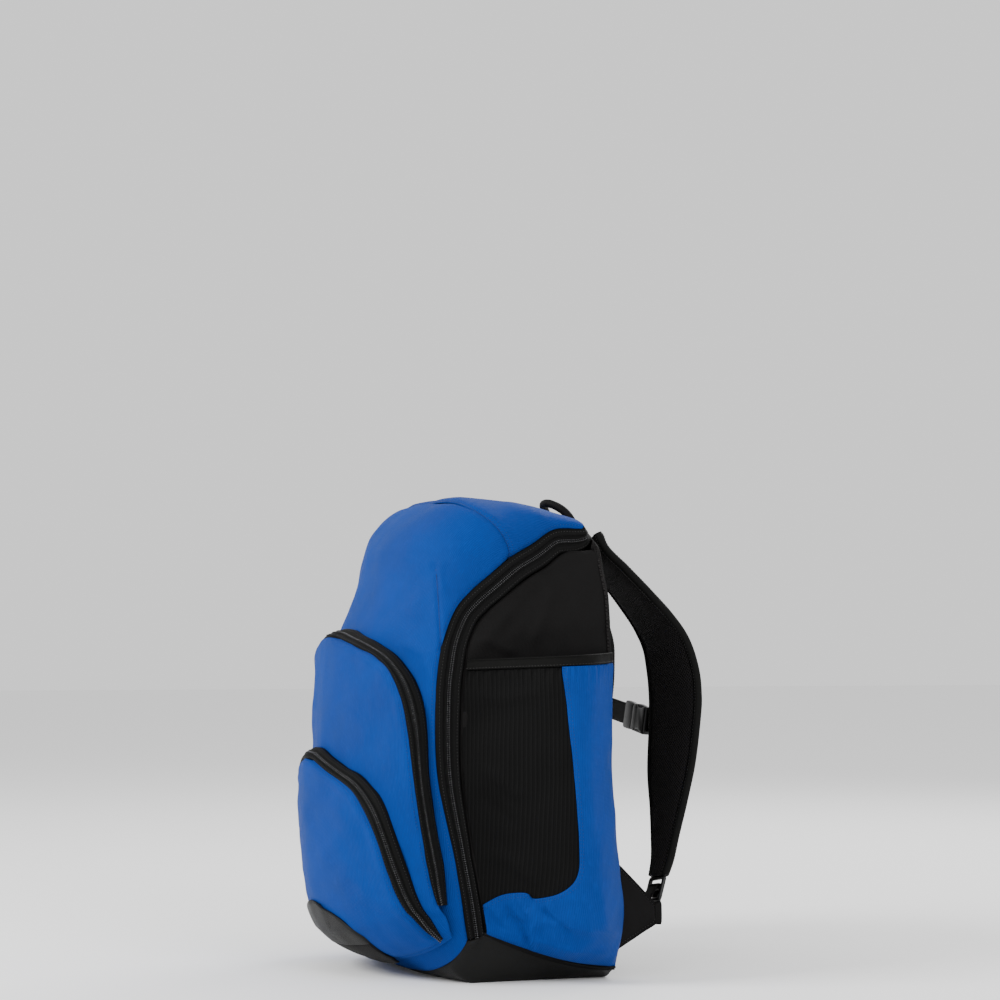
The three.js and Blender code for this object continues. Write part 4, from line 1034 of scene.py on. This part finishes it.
def sleeve_relief(p, folds, seed):
    return ripple(p, seed, 80) * 1.3 + ripple(p, seed + 1, 30) * 0.45 + folded(p, folds)


stitch_lines, dark_lines = [], []
for tail, side in SIDES:
    way = np.array([side, 1, 1])
    t = np.linspace(0, len(BORDER) - 1, 150)
    inner = curve(BORDER, t)
    corner = CORNER_ROW / (len(BORDER) - 1)
    k = np.linspace(0, 1, 150)
    low, high = np.clip(k / corner, 0, 1), np.clip((k - corner) / (1 - corner), 0, 1)
    outer_line = np.stack([FOOT + (RIM - FOOT) * high, FRONT + (REAR_END - FRONT) * low], 1)
    across_k = np.linspace(0, 1, 56)[:, None, None]
    cell = outer_line[None] * (1 - across_k) + inner[None] * across_k
    u = sleeve(cell[..., 0], cell[..., 1])
    p = u * way
    d = sleeve_relief(p, SLEEVE_FOLDS, 71)
    d *= smooth(borders(p)[0] / 14) * 0.9 + 0.1
    d += gathers(cell[..., 0], cell[..., 1]) + seam_dip(p, 1.6, 2.6, "f") + seam_dip(p, 0.5, 1.6, "t")
    uv = np.stack([u[..., 1], u[..., 2]], -1)
    panel("sleeve_cloth" + tail, p, BLUE_SLEEVE, ["sleeve_panel" + tail], d, 1.3, None, uv)
    stitch_lines += [line_near("sleeve_cloth" + tail, "t", 1.5), line_near("sleeve_cloth" + tail, "t", 4.0)]
    rows = np.linspace(0.72, RIM, 130)[:, None]
    b = np.linspace(FRONT, 0.6, 70)[None]
    u = sleeve(rows, b)
    foot = np.interp(b, BORDER[:8, 1], BORDER[:8, 0])
    window = smooth((rows - foot - 0.05) / 0.5) * smooth((0.52 - b) / 0.12)
    d = sleeve_relief(u * way, SLEEVE_FOLDS, 71) + sleeve_relief(u * way, MESH_FOLDS, 75) * window
    p = sleeve(rows, b, -1.6) * way
    d *= smooth(borders(p)[1] / 12) * 0.9 + 0.1
    d += gathers(rows, b)
    uv = np.stack([u[..., 1], u[..., 2]], -1)
    panel("sleeve_mesh_cloth" + tail, p, MESH, ["sleeve_mesh" + tail], d, 1.0, None, uv)
    b = np.linspace(FRONT, REAR_END, 150)
    foot = sleeve(np.full_like(b, RIM), b, 0.6)
    up = np.linspace(0.2, 9.4, 21)[:, None, None]
    p = (foot[None] + up * np.array([0, 0, 1.0])) * way
    h = np.linspace(0, 1, 21)[:, None]
    d = 0.9 * bell((h - 0.93) / 0.07) + 0.5 * bell((h - 0.12) / 0.06)
    d = d + 0 * p[..., 0] + ripple(p, 74, 18) * 0.35 - 1.2 * (h > 0.99) - 0.6 * (h < 0.01)
    panel("sleeve_rim" + tail, p, BINDING, ["sleeve_binding" + tail], d, 2.4)
    dark_lines.append(line_near("sleeve_rim" + tail, "f", 2.2))


# Haul handle
s = np.linspace(-1, 1, 120)
arch = np.maximum(0, 1 - np.abs(s) ** 2.6) ** 0.6
crest = back_top(0.0)[2]
line = np.stack([HANDLE_SPAN / 2 * s,
                 BACK + PAD_CROWN * 0.6 + 4 - HANDLE_LEAN * arch**6 - 9 * arch * smooth(-s),
                 crest - HANDLE_LEG + (HANDLE_RISE + 4 + HANDLE_LEG) * arch], 1)
obj = tube("haul_loop", resampled(line, 1.5), HANDLE_ROD / 2, WEB, ["haul_handle"], 14)


# Shoulder straps
def strap_line(rows, side=1):
    """The middle of a strap at rows of its table."""
    return np.stack([rows[..., 0] * HALF * side, BACK + rows[..., 1] * DEPTH, rows[..., 2] * HEIGHT], -1)


def strap_frames(side, count):
    """Points along a strap, the ways across and out of it, and its width."""
    rows = curve(STRAP_ROWS, np.linspace(0, len(STRAP_ROWS) - 1, count))
    centre = strap_line(rows, side)
    turn = np.radians(rows[:, 4])
    way = np.stack([side * np.cos(turn), np.sin(turn), 0 * turn], 1)
    run = unit(np.gradient(centre, axis=0))
    way = unit(way - (way * run).sum(1, keepdims=True) * run)
    up = np.cross(run, way)
    up *= np.where((up[:, 1] + 0.3 * up[:, 2]) > 0, 1, -1)[:, None]
    return centre, way, up, rows[:, 3] * STRAP_WIDTH


def strap_piece(tail, side):
    centre, way, up, wide = strap_frames(side, 170)
    dist = travel(centre)
    k = np.sin(np.linspace(-0.5, 0.5, 41) * np.pi)
    fat = 5.2 * (1 - np.abs(k) ** 4) ** 0.5
    top = np.concatenate([np.stack([k, fat], 1), np.stack([k, -fat], 1)[-2:0:-1]])
    width = wide[:, None, None] / 2
    puff = 1 + 0.05 * ripple(centre[:, None] + 0 * top[None, :, :1], 81, 40)[..., None]
    p = (centre[:, None] + way[:, None] * top[None, :, :1] * (width - 1.0)
         + up[:, None] * top[None, :, 1:] * puff)
    uv = uv_grid(top[:, 0] * width[..., 0], dist)
    faces = rings(*p.shape[:2])
    obj = new_mesh("strap_pad" + tail, p.reshape(-1, 3), faces, uv.reshape(-1, 2), AIR,
                   ["shoulder_strap" + tail])
    for sign in (-1, 1):
        edge = centre + way * sign * (wide[:, None] / 2 - 3.2)
        angle = np.linspace(-1.9, 1.9, 15)
        c, s_ = np.cos(angle), np.sin(angle)
        ring = np.stack([c * 3.6, s_ * 4.1], 1)
        q = edge[:, None] + way[:, None] * sign * ring[None, :, :1] + up[:, None] * ring[None, :, 1:]
        edge_uv = uv_grid(angle * 3.8, dist)
        n = way[:, None] * sign * c[None, :, None] + up[:, None] * s_[None, :, None]
        tag = "outer" if sign > 0 else "inner"
        panel("strap_edge_" + tag + tail, q, BINDING, (), 0.0, 0.9, n, edge_uv)
        for j in (2, 12):
            dark_lines.append(tuple(a[:, j] for a in SURFACES["strap_edge_" + tag + tail]))


for tail, side in SIDES:
    strap_piece(tail, side)


# Wings, locks and lower webbing
def lock_frame(side):
    """Places on a ladder lock, from how far they lie along, out of and aside of its middle."""
    c = strap_line(STRAP_ROWS)
    down = unit(c[-1] - c[-2])
    wide = unit(np.array([1.0, 0, 0]) - down * down[0])
    out = -np.cross(wide, down)
    centre = c[-1] + down * 12.5
    flip = np.array([side, 1, 1])
    at = lambda along, off, aside=0.0: (centre + down * along + out * off + wide * aside) * flip
    return at, wide * flip, out * flip


WING_TIP = curve(REAR, 1.225) + np.array([-7, 0.155 * DEPTH, -0.02 * HEIGHT])
for tail, side in SIDES:
    flip = np.array([side, 1, 1])
    k = np.linspace(0, 1, 40)[:, None, None]
    m = np.linspace(0, 1, 36)[None, :, None]
    start = curve(REAR, 2.1 + (0.35 - 2.1) * k[:, 0, 0])[:, None] + np.array([-7, 0.8, 0])
    end = WING_TIP + np.array([0, 0, 10.0]) - k * np.array([0, 0, 20.0])
    p = (start * (1 - m) + end * m) * flip
    rim = np.minimum(borders(p)[0], borders(p)[1])
    d = 0.9 * bell(rim / 2.4) - 0.5 * bell((rim - 4) / 1.2) + ripple(p, 91, 25) * 0.5
    n = np.broadcast_to(np.array([side * 1.0, 0, 0]), p.shape)
    panel("wing_cloth" + tail, p, BLACK, ["wing" + tail], d, 2.6, n)
    dark_lines += [line_near("wing_cloth" + tail, "f", 3.6), line_near("wing_cloth" + tail, "t", 3.6)]

    at, wide, out = lock_frame(side)
    ring = []
    for cx, cy, start_angle in ((11, 8, 0), (-11, 8, 90), (-11, -8, 180), (11, -8, 270)):
        for a in np.radians(np.linspace(start_angle, start_angle + 90, 6)):
            ring.append(at(cy + 2.2 * np.sin(a), 0, cx + 2.2 * np.cos(a)))
    ring.append(ring[0])
    ring = np.array(ring)
    tube("lock_frame" + tail, ring, 1.95, PLASTIC, ["ladder_lock" + tail], 12, out, False)
    bar = np.array([at(0, 0, x) for x in np.linspace(-12, 12, 12)])
    tube("lock_bar" + tail, bar, 1.9, PLASTIC, (), 10, out)
    off = 2 + 0.5 + 0.8
    foot = (WING_TIP + np.array([-1.2, 0.8, 0])) * flip
    turns = [(0, -1), (-0.82, -0.97), (-1.22, 0), (-0.82, 0.97), (0, 1)]
    falls = [(0.62, 0.3), (1, 0.36), (1.35, 0.32), (1.7, 0.22)]
    points = [foot, foot + [0, 6, 0], foot * 0.45 + at(18, -off) * 0.55, at(18, -off), at(12, -off)]
    points += [at(a * off, b * off) for a, b in turns] + [at(a * 24, b * 24) for a, b in falls]
    ways = [np.array([0, 0, 1.0])] * 2 + [np.array([0, 0, 0.45]) + wide * 0.55] + [wide] * (len(points) - 3)
    fine = np.linspace(0, len(points) - 1, 150)
    strip("lower_webbing" + tail, curve(points, fine), curve(ways, fine), ["strap_webbing" + tail])


# Sternum strap with its buckle
def plate(name, centre, wide, long, outline, thick, nodes=(), bevel=1.0):
    """A rounded plate: an outline in its plane, drawn in towards its two faces."""
    long = unit(long)
    wide = unit(wide - long * (wide @ long))
    normal = np.cross(wide, long)
    middle = outline.mean(0)
    reach = np.linalg.norm(outline - middle, axis=1, keepdims=True)
    steps = np.linspace(0, np.pi / 2, 4)
    profile = [(bevel * (1 - np.sin(a)), thick / 2 - bevel * (1 - np.cos(a))) for a in steps]
    profile += [(i, -h) for i, h in profile[::-1]]
    points = []
    for inset, h in profile:
        flat = middle + (outline - middle) * (1 - inset / reach)
        points += [centre + wide * x + long * y + normal * h for x, y in flat]
    faces = [face[::-1] for face in rings(len(profile), len(outline))]
    new_mesh(name, points, faces, np.array(points)[:, [1, 2]], PLASTIC, nodes)


def rounded(points, radius, steps=5):
    """An outline with its corners rounded."""
    points = np.asarray(points, float)
    out = []
    for i in range(len(points)):
        a, b, c = points[i - 1], points[i], points[(i + 1) % len(points)]
        u, v = (a - b) / np.linalg.norm(a - b), (c - b) / np.linalg.norm(c - b)
        r = min(radius, 0.45 * np.linalg.norm(a - b), 0.45 * np.linalg.norm(c - b))
        for t in np.linspace(0, 1, steps):
            out.append((b + u * r) * (1 - t) ** 2 + 2 * b * t * (1 - t) + (b + v * r) * t**2)
    return np.array(out)


def strap_inner(row, side, gap=0.0):
    r = STRAP_ROWS[row]
    turn = np.radians(r[4])
    way = np.array([side * np.cos(turn), np.sin(turn), 0])
    return strap_line(r, side) - way * (STRAP_WIDTH / 2 * r[3] + gap)


def sternum_end(side, rise):
    run = unit(strap_inner(7, side) - strap_inner(9, side))
    return strap_inner(8, side, SEAT) + run * rise, run


right, right_run = sternum_end(1, 0)
left, _ = sternum_end(-1, 12)
run = unit(left - right)
up = unit(right_run - run * (right_run @ run))
along = lambda x: right + run * x
whole = np.linalg.norm(left - right)
line = np.array([along(x) for x in np.linspace(-3, 8, 12)])
strip("sternum_web_r", line, np.broadcast_to(up, line.shape), ["sternum_webbing_r"])
line = np.array([along(x) for x in np.linspace(52, whole + 3, 40)])
strip("sternum_web_l", line, np.broadcast_to(up, line.shape), ["sternum_webbing_l"])
SOCKET = rounded([(-13, -15), (13, -15), (13, -9), (10.6, -5), (10.6, 5), (13, 9),
                  (12, 15), (-12, 15), (-13, 9), (-10.6, 5), (-10.6, -5), (-13, -9)], 2.5)
plate("buckle_socket_body", along(21.5), up, run, SOCKET, 8, ["buckle_socket"], 1.8)
PLUG = rounded([(-12, -10), (12, -10), (13, -4), (13, 10), (-13, 10), (-13, -4)], 2.5)
plate("buckle_plug_body", along(47), up, run, PLUG, 6, ["buckle_plug"], 1.6)
for sign in (-1, 1):
    arm = rounded([(-1.6, -9), (1.6, -9), (2.2, 0), (1.4, 8), (-1.4, 8)], 1.2, 4)
    tag = "r" if sign > 0 else "l"
    plate("buckle_arm_" + tag, along(24) + up * sign * 11.4, up, run, arm, 4.6, (), 0.9)


# Zip sliders
def slider(name, at, long, across_way):
    """A zip slider that lies along its zip, with its bridge and pull."""
    long = unit(long)
    normal = unit(np.cross(long, across_way))
    if normal @ outward(at) < 0:
        normal = -normal
    wide = np.cross(long, normal)
    body = rounded([(-4.5, -7), (4.5, -7), (4.4, 1), (2.9, 7), (-2.9, 7), (-4.4, 1)], 1.6)
    base = at + normal * 2.2
    plate(name + "_body", base, wide, long, body, 1.8, [name], 0.7)
    bridge = np.array([base + long * x + normal * (0.9 + 2.2 * np.sin(np.pi * (x + 4) / 9)) for x in
                       np.linspace(-4, 5, 14)])
    tube(name + "_bridge", bridge, 0.8, PLASTIC, (), 8, wide)
    pull = rounded([(-2.2, 0), (2.2, 0), (2.9, 22), (0, 24), (-2.9, 22)], 1.8)
    plate(name + "_pull", base + long * 4 + normal * 1.7, wide, long, pull, 1.4, (), 0.5)


def band_middle(rows, below, surface, i):
    r = rows[i]
    a = lifted(below(r[0], -r[1]), SEAT)
    b = surface(r[2], -r[3])
    return lifted((a + b) / 2, POCKET_BAND * BELLY), a - b


for name, rows, below, surface in (("slider_upper", UPPER_ROWS, shell, upper_face),
                                   ("slider_lower", LOWER_ROWS, upper_face, lower_face)):
    (a, across_way), (b, _) = (band_middle(rows, below, surface, i) for i in (3, 4))
    slider(name, (a + b) / 2, b - a, across_way)
flip = np.array([-1, 1, 1])
a, b = ((curve(EDGE, i) + tape_rear(i)) / 2 * flip for i in (3.0, 4.0))
slider("slider_main", (a + b) / 2, b - a, (curve(EDGE, 3.0) - tape_rear(3.0)) * flip)

# Stitching
for place in (("top_cloth", "f", 2.4), ("top_cloth", "f", 5.0), ("front_cloth", "l", 3.0),
              ("front_cloth", "r", 3.0), ("top_cloth", "l", 3.0), ("top_cloth", "r", 3.0)):
    stitch_lines.append(line_near(*place))
seams = [line_near("top_cloth", "f", 0.9)] + traced("front_cloth", DART)
stitches("blue_seams", seams, THREAD_BLUE, "blue_cloth", *SEAM_STITCH)
stitches("blue_stitches", stitch_lines, THREAD_BLUE, "blue_cloth", *BLUE_STITCH)
stitches("black_stitches", dark_lines, THREAD_BLACK, "black_cloth", *BLACK_STITCH)
